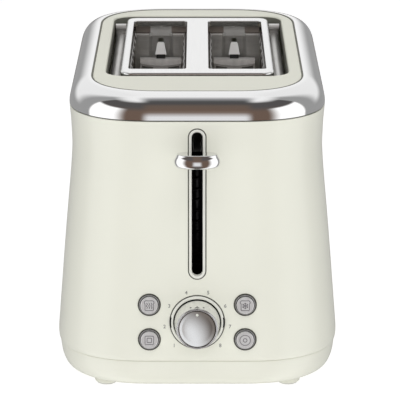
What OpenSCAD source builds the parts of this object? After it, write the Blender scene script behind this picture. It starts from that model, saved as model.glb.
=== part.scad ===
// Two-slot pop up toaster with a lever, a browning dial and four push buttons.
// Millimetres, +Z up, lever side towards -Y, origin at the middle of the footprint.

/* [Body] */
// Width over the shoulder, where the bright bezel meets the housing
shoulder_width = 168; // [164:1:172]
// Length over the shoulder, front to back
shoulder_length = 275; // [271:1:279]
// Height of the top panel above the table
height = 198; // [195:1:201]
// How far the housing flares outwards below the waist
flare_gain = 1; // [0.8:0.05:1.1]
// Wall thickness of the housing
wall = 2.2; // [1.8:0.1:2.6]

/* [Bread slots] */
// Length of each bread slot
slot_length = 146; // [138:1:150]
// Width of each bread slot
slot_width = 38.3; // [36:0.1:39.5]
// Width of the bar between the two slots
slot_bar = 15.1; // [14.5:0.1:17]
// Depth of the bread rack below the slot plate at rest
rack_depth = 27; // [26:1:32]

/* [Lever] */
// Width of the lever's grip
lever_width = 29.6; // [26:0.2:34]
// Height of the lever's grip
lever_height = 9.3; // [8:0.1:10]
// Downward travel of the carriage
lever_travel = 76; // [70:1:76]

/* [Controls] */
// Height of the dial's centre above the table
dial_z = 49.2; // [48:0.1:52]
// Diameter of the dial's surround
dial_diameter = 35.6; // [34:0.2:37]
// Diameter of the browning knob
knob_diameter = 26.8; // [25:0.2:28]
// Diameter of each push button's surround
button_diameter = 14.8; // [14:0.2:16]
// Sideways distance from the dial to each column of buttons
button_x = 31.1; // [30:0.1:33]
// Half of the distance between the upper and the lower buttons
button_v = 11.6; // [10.5:0.1:12.5]

/* [Hidden] */
$fn = 48;
corner_power = 2.4;
corner_steps = 14;
tiny = 0.02;

half_w = shoulder_width / 2;
half_l = shoulder_length / 2;
seam_z = 22.6;
shoulder_z = height - 15.7;
corner = 57;

// share of the housing's height and outward offset at that level
body_profile = [
    [0, 9.0], [0.034, 9.3], [0.347, 5.1], [0.51, 2.8], [0.616, 1.2], [0.716, -0.3],
    [0.773, -1.0], [0.823, -1.4], [0.873, -1.2], [0.923, -0.9], [1, 0]
];
// level and inset of the base below the housing's widest point
base_profile = [
    [3, 13], [3.3, 10], [4.2, 7.2], [6, 4.9], [9, 3.2], [13, 2], [18, 1.3], [22.3, 1]
];
base_inner = [[22.3, 3.4], [13, 4.5], [8, 7], [5.8, 12]];

flat_low = seam_z + body_profile[1][0] * (shoulder_z - seam_z);
flat_high = seam_z + body_profile[2][0] * (shoulder_z - seam_z);
lean = atan((flare(flat_low) - flare(flat_high)) / (flat_high - flat_low));
widest = flare(flat_low);
lever_reach = half_l + 23.5;
reach_rear = half_l + widest;

// top panel
ring_w = half_w - 14.5;
ring_l = half_l - 15;
ring_corner = 48;
opening_w = 60.5;
opening_l = 92;
opening_y = 10.85;

// toasting cage
slots_y = 10.25;
slot_x = (slot_bar + slot_width) / 2;
slot_y0 = slots_y - slot_length / 2;
slot_y1 = slots_y + slot_length / 2;
plate_top = height + 0.2;
sheet = 0.8;
cage_y0 = slot_y0 - 4;
cage_y1 = slot_y1 + 4;
cage_w = 57;
pan_z = 25;
cage_z = pan_z + 1.05;
ledge_z = height - 10.5;
guard_out_x = slot_x + slot_width / 2 + 0.1;
guard_in_x = slot_x - slot_width / 2 + 1.1;
guard_z = 84;
guard_wire = 1.1;
heater_out_x = 50.4;
heater_z = [62, 178];

// carriage
rack_z = height - rack_depth;
rack_half = 15;
arm_half = 0.75;
arm_z = rack_z - 12;
slit_half = 1.8;
lift = 10;
rod_y = cage_y0 - 24.7;
rod_r = 4;
lever_z = 160.4;
stem_half = 2.3;
bracket_y = cage_y0 - 13.8;
carriage_z = 150;
magnet_x = -15;

// lever slot
slot_low = 79.9;
slot_high = 174.8;
lever_slot_w = 7.1;
trim_band = 2.1;

// controls
dial_r = dial_diameter / 2;
knob_r = knob_diameter / 2;
button_r = button_diameter / 2;
cap_r = button_r - 1.9;
knob_top = 17.7;
board_w = -17;
shaft_r = 3;
knob_reach = half_l + flare(dial_z) + knob_top * cos(lean) + (knob_r - 1.3) * sin(lean);
y_shift = (max(lever_reach, knob_reach) - reach_rear) / 2;

function flare(z) = flare_gain * lookup((z - seam_z) / (shoulder_z - seam_z), body_profile);

// rectangle with soft superelliptic corners, anticlockwise
function quarter(a, b, cx, cy, sx, sy, forwards) = [
    for (i = [0 : corner_steps])
        let (t = 90 * (forwards ? i : corner_steps - i) / corner_steps)
        [
            sx * (a - cx + cx * pow(max(cos(t), 0), 2 / corner_power)),
            sy * (b - cy + cy * pow(max(sin(t), 0), 2 / corner_power))
        ]
];
function trimmed(points) = [
    for (i = [0 : len(points) - 1])
        if (norm(points[i] - points[(i + 1) % len(points)]) > 0.001) points[i]
];
function outline(a, b, cx, cy) = trimmed(concat(
    quarter(a, b, cx, cy, 1, 1, true),
    quarter(a, b, cx, cy, -1, 1, false),
    quarter(a, b, cx, cy, -1, -1, true),
    quarter(a, b, cx, cy, 1, -1, false)
));

module soft_plate(a, b, c) {
    polygon(outline(a, b, c, c));
}

// surface through a list of levels [z, half width, half length, corner x, corner y]
module loft(levels, closed) {
    rings = [for (l = levels) [for (p = outline(l[1], l[2], l[3], l[4])) [p[0], p[1], l[0]]]];
    m = len(rings[0]);
    count = len(levels);
    last = closed ? count - 1 : count - 2;
    skin = [
        for (i = [0 : last])
            for (j = [0 : m - 1])
                let (k = (i + 1) % count, n = (j + 1) % m)
                each [[i * m + j, k * m + j, k * m + n], [i * m + j, k * m + n, i * m + n]]
    ];
    caps = closed ? [] : [
        [for (j = [0 : m - 1]) j],
        [for (j = [0 : m - 1]) count * m - 1 - j]
    ];
    polyhedron(points = [for (r = rings) each r], faces = concat(skin, caps), convexity = 8);
}

function body_level(z, inset) = [
    z,
    half_w + flare(z) - inset,
    half_l + flare(z) - inset,
    corner + flare(z) / 2 - inset,
    corner + flare(z) / 2 - inset
];
function lip_level(z, inset) = [
    z, half_w - inset, half_l - inset, corner + 2 - inset, corner + 2 - inset
];
function base_level(z, inset) = [
    z,
    half_w + widest - inset,
    half_l + widest - inset,
    corner + 5 - 0.7 * inset,
    corner + 5 - 0.7 * inset
];

module stadium(w, l) {
    square([w, l - w], center = true);
    for (s = [-1, 1]) translate([0, s * (l - w) / 2]) circle(d = w);
}

module rounded_rect(w, l, r) {
    square([w - 2 * r, l], center = true);
    square([w, l - 2 * r], center = true);
    for (x = [-1, 1], y = [-1, 1]) translate([x * (w / 2 - r), y * (l / 2 - r)]) circle(r = r);
}

module box(x0, x1, y0, y1, z0, z1) {
    translate([x0, y0, z0]) cube([x1 - x0, y1 - y0, z1 - z0]);
}

// frame on the sloping front face: local z leaves the face, local y climbs it
module on_panel(x = 0, v = 0) {
    translate([0, -half_l - flare(dial_z), dial_z]) rotate([90 - lean, 0, 0])
        translate([x, v, 0]) children();
}

module at_buttons() {
    for (x = [-1, 1], v = [-1, 1]) on_panel(x * button_x, v * button_v) children();
}

module placed() {
    translate([0, y_shift, 0]) children();
}

module mirrored(side) {
    mirror([side < 0 ? 1 : 0, 0, 0]) children();
}

// outside

module housing_body() {
    zs = [for (p = body_profile) seam_z + p[0] * (shoulder_z - seam_z)];
    outside = [for (z = zs) body_level(z, 0)];
    lip = [lip_level(shoulder_z + 0.1, 3), lip_level(shoulder_z + 5.2, 3)];
    inside = [
        lip_level(shoulder_z + 5.2, 3 + wall), lip_level(shoulder_z - 2, 3 + wall),
        for (i = [len(zs) - 2 : -1 : 0]) body_level(zs[i], wall)
    ];
    loft(concat(outside, lip, inside), true);
}

module housing_shell() {
    color([0.86, 0.86, 0.8]) placed() difference() {
        housing_body();
        translate([0, -half_l, (slot_low + slot_high) / 2]) rotate([90, 0, 0])
            linear_extrude(40, center = true)
            stadium(lever_slot_w + 2 * trim_band + 0.2, slot_high - slot_low + 2 * trim_band + 0.2);
        on_panel() translate([0, 0, -12]) cylinder(r = dial_r - 1.1, h = 24);
        at_buttons() translate([0, 0, -12]) cylinder(r = button_r - 0.8, h = 24);
        gland_frame() translate([0, 0, -12]) cylinder(r = 6, h = 24);
    }
}

module base_outside() {
    loft([for (p = base_profile) base_level(p[0], p[1])], false);
}

module base_tray() {
    posts = [for (x = [-1, 1], y = [-1, 1]) [x * 74, y * 104]];
    color([0.86, 0.86, 0.8]) placed() difference() {
        union() {
            loft(concat(
                [for (p = base_profile) base_level(p[0], p[1])],
                [for (p = base_inner) base_level(p[0], p[1])]
            ), false);
            for (p = posts) translate([p[0], p[1], 5]) cylinder(r = 5, h = pan_z - 5.05);
            for (s = [-1, 1]) translate([s * 50.6 - 0.8, -72, 5]) cube([1.6, 196, 10]);
            at_feet() translate([0, 0, 5.2]) cylinder(r = 9.2, h = 3.2);
        }
        for (p = posts) translate([p[0], p[1], 2]) cylinder(r = 3.3, h = 5.1);
        for (p = posts) translate([p[0], p[1], 4]) cylinder(r = 1.6, h = 20);
        at_feet() translate([0, 0, 2]) cylinder(r = 8.1, h = 4.3);
        box(-46, 46, 120, half_l + 20, 8.4, 19.6);
        for (x = [-30, 0, 30], y = [-50 : 20 : 70])
            translate([x, y, 2]) linear_extrude(5) rotate(90) stadium(4, 22);
    }
}

module at_feet() {
    for (x = [-1, 1], y = [-1, 1]) translate([x * 60, y * 124.5, 0]) children();
}

module feet() {
    color([0.84, 0.84, 0.78]) placed() at_feet() {
        translate([0, 0, 1.25]) cylinder(r1 = 7.4, r2 = 8, h = 1);
        translate([0, 0, 2.25]) cylinder(r = 8, h = 3.95);
    }
}

module foot_pads() {
    color([0.3, 0.3, 0.3]) placed() at_feet() cylinder(r = 6.4, h = 1.2);
}

function bezel_level(t, thin) = [
    shoulder_z + 0.15 + (16.1 - thin) * sin(t),
    ring_w + 0.2 + (14.3 - thin) * cos(t),
    ring_l + 0.2 + (14.8 - thin) * cos(t),
    ring_corner + 9 * cos(t),
    ring_corner + 9 * cos(t)
];

module top_bezel() {
    angles = [0, 14, 28, 42, 56, 68, 79, 90];
    color([0.8, 0.8, 0.82]) placed() loft(concat(
        [for (t = angles) bezel_level(t, 0)],
        [for (i = [len(angles) - 1 : -1 : 0]) bezel_level(angles[i], 1.2)]
    ), true);
}

module top_panel() {
    color([0.84, 0.84, 0.78]) placed() {
        translate([0, 0, height - 2.2]) linear_extrude(2.2) difference() {
            soft_plate(ring_w, ring_l, ring_corner);
            translate([0, opening_y]) soft_plate(opening_w, opening_l, 16);
        }
        translate([0, opening_y, height - 8]) linear_extrude(6) difference() {
            soft_plate(opening_w + 1.6, opening_l + 1.6, 17);
            soft_plate(opening_w, opening_l, 16);
        }
        translate([0, 0, height - 12]) linear_extrude(10) difference() {
            soft_plate(ring_w - 1.5, ring_l - 1.5, ring_corner - 1.5);
            soft_plate(ring_w - 3.3, ring_l - 3.3, ring_corner - 3.3);
        }
    }
}

module slot_pair(grow) {
    for (s = [-1, 1]) translate([s * slot_x, 0])
        rounded_rect(slot_width + 2 * grow, slot_length + 2 * grow, 3 + grow);
}

module slot_plate() {
    edge_w = slot_x + slot_width / 2 + 5.2;
    edge_l = slot_length / 2 + 11.4;
    color([0.78, 0.78, 0.8]) placed() translate([0, slots_y, plate_top]) {
        translate([0, 0, -sheet]) linear_extrude(sheet) difference() {
            soft_plate(edge_w, edge_l, 9);
            slot_pair(0);
        }
        translate([0, 0, -9.2]) linear_extrude(9) difference() {
            soft_plate(edge_w, edge_l, 9);
            soft_plate(edge_w - sheet, edge_l - sheet, 9 - sheet);
        }
        translate([0, 0, -4.2]) linear_extrude(4) difference() {
            slot_pair(sheet);
            slot_pair(0);
        }
    }
}

module face_slab(out, depth, x) {
    zs = [for (p = body_profile) seam_z + p[0] * (shoulder_z - seam_z)];
    front = [for (z = zs) [-half_l - flare(z) - out, z]];
    back = [for (i = [len(zs) - 1 : -1 : 0]) [-half_l - flare(zs[i]) + depth, zs[i]]];
    rotate([90, 0, 90]) linear_extrude(x, center = true) polygon(concat(front, back));
}

module lever_slot_trim() {
    length = slot_high - slot_low;
    color([0.88, 0.88, 0.84]) placed() intersection() {
        face_slab(0.8, wall + 1.2, 30);
        translate([0, -half_l, (slot_low + slot_high) / 2]) rotate([90, 0, 0])
            linear_extrude(60, center = true) difference() {
                stadium(lever_slot_w + 2 * trim_band, length + 2 * trim_band);
                stadium(lever_slot_w, length);
            }
    }
}

// controls on the front face

module dial_bezel() {
    color([0.88, 0.88, 0.84]) placed() on_panel() {
        difference() {
            union() {
                translate([0, 0, tiny]) cylinder(r = dial_r, h = 1);
                translate([0, 0, 1]) cylinder(r1 = dial_r, r2 = dial_r - 0.6, h = 0.6);
                translate([0, 0, -3.4]) cylinder(r = dial_r - 1.3, h = 4);
            }
            translate([0, 0, -5]) cylinder(r = dial_r - 2.3, h = 10);
        }
    }
}

module dial_dish() {
    dish_r = dial_r - 2.4;
    color([0.86, 0.86, 0.8]) placed() on_panel() rotate_extrude()
        polygon([[4.2, -2.4], [dish_r, -2.4], [dish_r, 0.9], [dish_r - 1, 0.4], [4.2, 0]]);
}

module browning_knob() {
    color([0.78, 0.78, 0.78]) placed() on_panel() rotate_extrude() polygon([
        [shaft_r + 0.04, 2], [knob_r - 1.4, 2], [knob_r - 1.4, 1.5], [knob_r + 1.6, 1.5],
        [knob_r + 0.5, 9], [knob_r, 16.4], [knob_r - 0.5, 17.3], [knob_r - 1.3, knob_top],
        [knob_r - 1.45, 17.6], [knob_r - 1.45, 16.1], [shaft_r + 0.04, 16.1]
    ]);
}

module knob_face() {
    color([0.82, 0.82, 0.82]) placed() on_panel() difference() {
        rotate_extrude() polygon([
            [0, 16.15], [knob_r - 1.5, 16.15], [knob_r - 1.5, 17.45], [knob_r - 4, 16.9], [0, 16.5]
        ]);
        translate([0, knob_r - 4.1, 16]) cylinder(r = 0.95, h = 3);
    }
}

module knob_marker() {
    color([0.95, 0.95, 0.95]) placed() on_panel()
        translate([0, knob_r - 4.1, 16.15]) cylinder(r = 0.93, h = 1.1);
}

module knob_shaft() {
    color([0.5, 0.5, 0.5]) placed() on_panel() difference() {
        translate([0, 0, board_w + 0.6]) cylinder(r = shaft_r, h = 16 - board_w - 0.6);
        translate([-4, 1.8, 4]) cube([8, 4, 20]);
    }
}

module button_bezels() {
    color([0.7, 0.7, 0.7]) placed() at_buttons() difference() {
        union() {
            translate([0, 0, tiny]) cylinder(r = button_r, h = 0.8);
            translate([0, 0, 0.8]) cylinder(r1 = button_r, r2 = button_r - 0.5, h = 0.5);
            translate([0, 0, -4.6]) cylinder(r = button_r - 0.9, h = 5);
        }
        translate([0, 0, -6]) cylinder(r = cap_r + 0.25, h = 10);
    }
}

module push_button(x, v) {
    color([0.75, 0.75, 0.75]) placed() on_panel(x * button_x, v * button_v) {
        translate([0, 0, 2.6]) cylinder(r1 = cap_r, r2 = cap_r - 0.6, h = 0.6);
        translate([0, 0, -5.2]) cylinder(r = cap_r, h = 7.8);
        translate([0, 0, -6.6]) cylinder(r = cap_r + 0.8, h = 1.5);
        translate([0, 0, -11.6]) cylinder(r = 1.6, h = 5.2);
    }
}

module board_frame() {
    on_panel() translate([0, 0, board_w]) children();
}

module control_board() {
    color([0.1, 0.35, 0.2]) placed() board_frame() difference() {
        translate([-46, -20, -1.6]) cube([92, 41, 1.6]);
        for (x = [-42, 42], v = [-16, 17]) translate([x, v, -3]) cylinder(r = 1.6, h = 6);
    }
}

module board_switches() {
    color([0.15, 0.15, 0.15]) placed() board_frame()
        for (x = [-1, 1], v = [-1, 1]) translate([x * button_x, v * button_v, 0]) {
            translate([-3, -3, tiny]) cube([6, 6, 2]);
            translate([0, 0, 1.9]) cylinder(r = 1.7, h = 0.9);
        }
}

module board_parts() {
    color([0.2, 0.2, 0.25]) placed() board_frame() {
        translate([-21, 8, tiny]) cube([9, 7, 1.4]);
        translate([14, -16, tiny]) cylinder(r = 3, h = 7);
        translate([21, 12, tiny]) cylinder(r = 2.5, h = 6);
        for (i = [0 : 4]) translate([-24 + 3 * i, -15, tiny]) cube([1.4, 2.8, 0.8]);
    }
}

module board_screws() {
    color([0.55, 0.55, 0.56]) placed() board_frame() for (x = [-42, 42], v = [-16, 17])
        translate([x, v, 0]) {
            translate([0, 0, tiny]) cylinder(r = 2.8, h = 1.6);
            translate([0, 0, -7]) cylinder(r = 1, h = 7.5);
        }
}

module dial_encoder() {
    color([0.55, 0.55, 0.58]) placed() board_frame() difference() {
        union() {
            translate([0, 0, tiny]) cylinder(r = 8.4, h = 7);
            translate([0, 0, 6.9]) cylinder(r = 4.6, h = 5);
        }
        translate([0, 0, 0.4]) cylinder(r = shaft_r + 0.05, h = 14);
    }
}

module front_carrier() {
    plate_y = cage_y0 - 51.2;
    color([0.08, 0.08, 0.08]) placed() {
        difference() {
            union() {
                box(-56, 56, plate_y, plate_y + 2, cage_z, height - 14);
                board_frame() for (x = [-42, 42], v = [-16, 17])
                    translate([x, v, -12]) cylinder(r = 3, h = 12 - 1.65);
            }
            box(-2.8, 2.8, plate_y - 5, plate_y + 5, 70, slot_high + 3);
            box(-60, 60, plate_y + 2, plate_y + 20, 0, height);
            for (x = [-42, 42], v = [-16, 17]) board_frame()
                translate([x, v, -8]) cylinder(r = 1.1, h = 10);
        }
    }
}

// chassis and toasting cage

module chassis_pan() {
    color([0.6, 0.6, 0.62]) placed() translate([0, 0, pan_z]) linear_extrude(1) difference() {
        soft_plate(half_w - 2, half_l - 2, corner - 4);
        translate([0, slots_y]) square([94, slot_length + 2], center = true);
    }
}

module end_plate() {
    color([0.62, 0.62, 0.64]) difference() {
        union() {
            box(-cage_w, cage_w, 0, sheet, cage_z, ledge_z);
            box(-cage_w + 1, cage_w - 1, 0, 4, ledge_z - sheet, ledge_z);
            box(-45, 45, 4 - sheet, 4, ledge_z - sheet, plate_top - 1.6);
            for (s = [-1, 1]) box(s * cage_w - 0.4, s * cage_w + 0.4, 0, 7, cage_z, ledge_z - 2);
        }
        for (s = [-1, 1]) {
            box(s * slot_x - slit_half, s * slot_x + slit_half, -1, 2,
                arm_z - lever_travel - 1.5, rack_z + lift + 2.5);
            box(s * slot_x - 8.5, s * slot_x + 8.5, -0.1, 3, ledge_z - 2.5, ledge_z + 1);
        }
    }
}

module front_end_plate() {
    placed() translate([0, cage_y0, 0]) mirror([0, 1, 0]) end_plate();
}

module rear_end_plate() {
    placed() translate([0, cage_y1, 0]) end_plate();
}

module side_shield(side) {
    y0 = cage_y0 + 0.3;
    y1 = cage_y1 - 0.3;
    color([0.7, 0.7, 0.72]) placed() mirrored(side) difference() {
        union() {
            box(53.6, 54.4, y0, y1, pan_z + 8, height - 14);
            translate([55, y0, height - 14]) rotate([-90, 0, 0]) cylinder(r = 4.2, h = y1 - y0);
        }
        translate([55, y0 - 1, height - 14]) rotate([-90, 0, 0])
            cylinder(r = 3.4, h = y1 - y0 + 2);
    }
}

module heater_board(x, half) {
    color([0.72, 0.62, 0.45]) placed() difference() {
        box(x - half, x + half, cage_y0 + 0.3, cage_y1 - 0.3, heater_z[0], heater_z[1]);
        for (y = [cage_y0 + 3 : 12 : cage_y1 - 3]) translate([x, y, heater_z[1] - 4])
            rotate([0, 90, 0]) cylinder(r = 1, h = 4, center = true);
    }
}

module heater_ribbon(x) {
    color([0.45, 0.4, 0.36]) placed()
        for (i = [0 : 11]) box(x - 0.1, x + 0.1, slot_y0, slot_y1,
            heater_z[0] + 8 + 8.6 * i, heater_z[0] + 9.6 + 8.6 * i);
}

module guard(x) {
    count = 8;
    low_y = cage_y0 + 0.4;
    high_y = cage_y1 - 0.4;
    color([0.7, 0.7, 0.72]) placed() translate([x, 0, 0]) {
        translate([0, low_y, guard_z]) rotate([-90, 0, 0])
            cylinder(r = guard_wire, h = high_y - low_y);
        translate([0, slot_y0 + 1, height - 8]) rotate([-90, 0, 0])
            cylinder(r = guard_wire, h = slot_length - 2);
        for (i = [0 : count - 1])
            translate([0, slot_y0 + 4 + i * (slot_length - 8) / (count - 1), guard_z])
            cylinder(r = guard_wire - 0.1, h = height - 8 - guard_z);
    }
}

// mechanism

module mechanism_frame() {
    tab_y = rod_y - 8;
    plate_y = cage_y0 - 2.2;
    color([0.6, 0.6, 0.62]) placed() difference() {
        union() {
            box(-18, 18, plate_y, plate_y + 1.2, cage_z, height - 12);
            for (z = [cage_z + 1, height - 14]) box(-9, 9, tab_y, plate_y + 0.5, z, z + 2);
        }
        translate([0, rod_y, 20]) cylinder(r = rod_r + 0.05, h = height);
    }
}

module guide_rod() {
    color([0.75, 0.75, 0.77]) placed()
        translate([0, rod_y, cage_z]) cylinder(r = rod_r, h = height - 9 - cage_z);
}

module magnet_core() {
    color([0.4, 0.4, 0.42]) placed() {
        box(magnet_x - 8, magnet_x + 8, rod_y + 4.5, rod_y + 11, 36, 41);
        for (x = [-8, -2, 5.5]) box(magnet_x + x, magnet_x + x + (x == -2 ? 4 : 2.5),
            rod_y + 4.5, rod_y + 11, 40, carriage_z - 2 - lever_travel - 0.4);
    }
}

module magnet_coil() {
    color([0.65, 0.35, 0.15]) placed() difference() {
        box(magnet_x - 5.2, magnet_x + 5.2, rod_y + 1.5, rod_y + 14, 42, 66);
        box(magnet_x - 2.1, magnet_x + 2.1, rod_y + 4.4, rod_y + 11.1, 41, 67);
    }
}

module main_contacts() {
    color([0.85, 0.8, 0.7]) placed() {
        box(9, 25, rod_y + 2, rod_y + 14, cage_z, 60);
        for (x = [12, 20]) box(x, x + 2, rod_y + 5, rod_y + 6.4, 59, 70);
        translate([17, rod_y + 10, 59]) cylinder(r = 2, h = 12.4);
    }
}

module carriage_bracket() {
    color([0.66, 0.66, 0.68]) placed() difference() {
        box(-34, 34, bracket_y, bracket_y + 1.6, carriage_z, carriage_z + 22);
        for (s = [-1, 1]) translate([s * 15, bracket_y, carriage_z + 11]) rotate([-90, 0, 0])
            translate([0, 0, -1]) cylinder(r = 4, h = 4);
    }
}

module carriage_bushing() {
    color([0.92, 0.92, 0.9]) placed() difference() {
        union() {
            translate([0, rod_y, carriage_z]) cylinder(r = 7, h = 23);
            box(-4, 4, rod_y + 3, bracket_y - tiny, carriage_z + 2, carriage_z + 20);
        }
        translate([0, rod_y, carriage_z - 1]) cylinder(r = rod_r + 0.05, h = 26);
    }
}

module lever_stem() {
    color([0.75, 0.75, 0.77]) placed()
        box(-stem_half, stem_half, -lever_reach + 9, rod_y - 7 - tiny, lever_z - 3, lever_z + 3);
}

module lever_knob() {
    inset = [[-1, 2.6], [-0.89, 1.2], [-0.65, 0.35], [-0.28, 0], [0.28, 0], [0.65, 0.35],
        [0.89, 1.2], [1, 2.6]];
    a = lever_width / 2;
    b = 7.8;
    color([0.8, 0.8, 0.82]) placed() difference() {
        translate([0, -lever_reach + b, lever_z]) loft([
            for (p = inset) [p[0] * lever_height / 2, a - p[1], b - p[1], a - p[1], b - p[1]]
        ], false);
        box(-stem_half - tiny, stem_half + tiny, -lever_reach + 9 - tiny, -lever_reach + 20,
            lever_z - 3 - tiny, lever_z + 3 + tiny);
    }
}

module bread_rack(side) {
    y0 = slot_y0 - 1.8;
    y1 = slot_y1 + 1;
    color([0.7, 0.7, 0.72]) placed() translate([side * slot_x, 0, 0]) {
        difference() {
            box(-rack_half, rack_half, y0, y1, rack_z - 1, rack_z);
            for (s = [-1, 1], y = [y1 - 24.5 : -24 : y0 + 20])
                translate([s * 9.4, y, rack_z - 2]) linear_extrude(3) stadium(8, 19);
        }
        box(-arm_half, arm_half, bracket_y + 1.6 + tiny, cage_y1 + 5.8, arm_z, rack_z - 0.5);
        translate([0, y1 - 1.2, rack_z]) rotate([90, 0, 0]) linear_extrude(1.2)
            polygon([[-4.1, -1], [4.1, -1], [3.9, 2], [2.2, 11.6], [-2.2, 11.6], [-3.9, 2]]);
    }
}

module latch_plate() {
    color([0.5, 0.5, 0.52]) placed()
        box(magnet_x - 9, magnet_x + 9, rod_y + 4, bracket_y + 1.6, carriage_z - 2,
            carriage_z - tiny);
}

module contact_foot() {
    color([0.9, 0.9, 0.88]) placed()
        box(10, 24, rod_y + 4, bracket_y + 1.6, carriage_z - 2, carriage_z - tiny);
}

module return_spring() {
    turns = 16;
    steps = 14;
    sides = 6;
    wire = 0.75;
    radius = 5.4;
    low = cage_z + 4;
    rise = carriage_z - 1 - low;
    total = turns * steps;
    points = [
        for (i = [0 : total])
            for (k = [0 : sides - 1])
                let (a = 360 * i / steps, t = 360 * k / sides, r = radius + wire * cos(t))
                [r * cos(a), r * sin(a), low + rise * i / total + wire * sin(t)]
    ];
    skin = [
        for (i = [0 : total - 1])
            for (k = [0 : sides - 1])
                let (n = (k + 1) % sides, p = i * sides)
                each [[p + k, p + sides + n, p + sides + k], [p + k, p + n, p + sides + n]]
    ];
    ends = [
        [for (k = [0 : sides - 1]) sides - 1 - k],
        [for (k = [0 : sides - 1]) total * sides + k]
    ];
    color([0.5, 0.5, 0.52]) placed() translate([0, rod_y, 0])
        polyhedron(points = points, faces = concat(skin, ends), convexity = 10);
}

// rear and below

module power_board() {
    color([0.45, 0.35, 0.15]) placed() box(-42, 42, 110, 111.6, 34, 92);
}

module power_parts() {
    color([0.12, 0.12, 0.14]) placed() {
        box(-36, -12, 97.4, 110 - tiny, 46, 72);
        box(-4, 12, 99, 110 - tiny, 40, 55);
        translate([22, 110 - tiny, 62]) rotate([90, 0, 0]) cylinder(r = 5, h = 11);
        translate([34, 110 - tiny, 62]) rotate([90, 0, 0]) cylinder(r = 4, h = 9);
        box(-4, 8, 102, 110 - tiny, 64, 84);
    }
}

module gland_frame() {
    z = 50;
    translate([26, half_l + flare(z), z]) rotate([lean - 90, 0, 0]) children();
}

module cord_gland() {
    color([0.86, 0.86, 0.82]) placed() gland_frame() difference() {
        union() {
            translate([0, 0, tiny]) cylinder(r = 7.6, h = 0.9);
            translate([0, 0, -9]) cylinder(r = 5.9, h = 9.5);
            translate([0, 0, -6]) cylinder(r = 7, h = 2);
        }
        translate([0, 0, -10]) cylinder(r = 3.6, h = 12);
        translate([0, 0, -3.5]) cylinder(r1 = 3.6, r2 = 4.9, h = 4.5);
    }
}

module base_screws() {
    color([0.55, 0.55, 0.56]) placed() for (x = [-1, 1], y = [-1, 1])
        translate([x * 74, y * 104, 0]) difference() {
            union() {
                translate([0, 0, 4.6]) cylinder(r = 3, h = 2.4);
                translate([0, 0, 6.9]) cylinder(r = 1.5, h = 16);
            }
            translate([-0.5, -2, 4]) cube([1, 4, 1.6]);
            translate([-2, -0.5, 4]) cube([4, 1, 1.6]);
        }
}

module crumb_tray() {
    y0 = slot_y0 - 3;
    y1 = half_l - 5;
    color([0.72, 0.72, 0.74]) placed() difference() {
        box(-45, 45, y0, y1, 9, 16);
        box(-44.2, 44.2, y0 + 0.8, y1 - 0.8, 9.8, 20);
    }
}

module crumb_tray_handle() {
    y0 = half_l - 5 + tiny;
    color([0.86, 0.86, 0.8]) placed() difference() {
        intersection() {
            base_outside();
            box(-45.4, 45.4, y0, half_l + 30, 9, 19);
        }
        translate([0, reach_rear + 24, 8]) cylinder(r = 28, h = 6);
    }
}

housing_shell();
base_tray();
feet();
foot_pads();
top_bezel();
top_panel();
slot_plate();
lever_slot_trim();
dial_bezel();
dial_dish();
button_bezels();
front_carrier();
chassis_pan();
front_end_plate();
rear_end_plate();
side_shield(-1);  // side_shield_left
side_shield(1);  // side_shield_right
mechanism_frame();
guide_rod();
heater_board(-heater_out_x, 0.3);  // heater_board_left
heater_board(0, 0.4);  // heater_board_centre
heater_board(heater_out_x, 0.3);  // heater_board_right
heater_ribbon(-heater_out_x + 0.45);  // heater_ribbon_left
heater_ribbon(0.55);  // heater_ribbon_centre
heater_ribbon(heater_out_x - 0.45);  // heater_ribbon_right
magnet_core();
magnet_coil();
control_board();
board_switches();
board_parts();
board_screws();
dial_encoder();
main_contacts();
power_board();
power_parts();
cord_gland();
base_screws();
carriage_bracket();
carriage_bushing();
lever_stem();
lever_knob();
bread_rack(-1);  // bread_rack_left
bread_rack(1);  // bread_rack_right
latch_plate();
contact_foot();
return_spring();
browning_knob();
knob_face();
knob_marker();
knob_shaft();
push_button(-1, 1);  // button_reheat
push_button(1, 1);  // button_defrost
push_button(-1, -1);  // button_stop
push_button(1, -1);  // button_bagel
crumb_tray();
crumb_tray_handle();
guard(-guard_out_x);  // guard_left_outer
guard(-guard_in_x);  // guard_left_inner
guard(guard_in_x);  // guard_right_inner
guard(guard_out_x);  // guard_right_outer
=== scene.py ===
"""Two-slot pop up toaster: the shown pieces, their materials, the lights and the camera."""
import math
import bpy
import bmesh
from mathutils import Matrix, Vector, geometry, interpolate
from mathutils.bvhtree import BVHTree


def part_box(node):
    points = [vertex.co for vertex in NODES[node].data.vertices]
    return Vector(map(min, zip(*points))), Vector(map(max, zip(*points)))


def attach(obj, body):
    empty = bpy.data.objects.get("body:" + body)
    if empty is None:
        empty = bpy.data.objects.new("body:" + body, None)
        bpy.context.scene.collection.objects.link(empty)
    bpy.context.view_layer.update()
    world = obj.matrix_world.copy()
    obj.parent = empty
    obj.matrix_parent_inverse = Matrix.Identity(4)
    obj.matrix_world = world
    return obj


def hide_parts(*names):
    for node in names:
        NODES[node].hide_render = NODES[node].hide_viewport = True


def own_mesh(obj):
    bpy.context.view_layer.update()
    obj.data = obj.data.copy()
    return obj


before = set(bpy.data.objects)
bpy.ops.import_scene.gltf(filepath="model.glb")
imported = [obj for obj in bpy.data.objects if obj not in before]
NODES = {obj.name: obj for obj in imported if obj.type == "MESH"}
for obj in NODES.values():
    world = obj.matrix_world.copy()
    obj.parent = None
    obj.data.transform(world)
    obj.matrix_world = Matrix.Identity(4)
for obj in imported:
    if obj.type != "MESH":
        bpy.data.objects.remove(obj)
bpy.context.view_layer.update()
ROOT = "toaster_body"


# Sizes in millimetres, from the CAD boxes. Design Y is 0 at the middle of the body.

def box_mm(node):
    low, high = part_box(node)
    return [1000 * c for c in low], [1000 * c for c in high]


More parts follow.
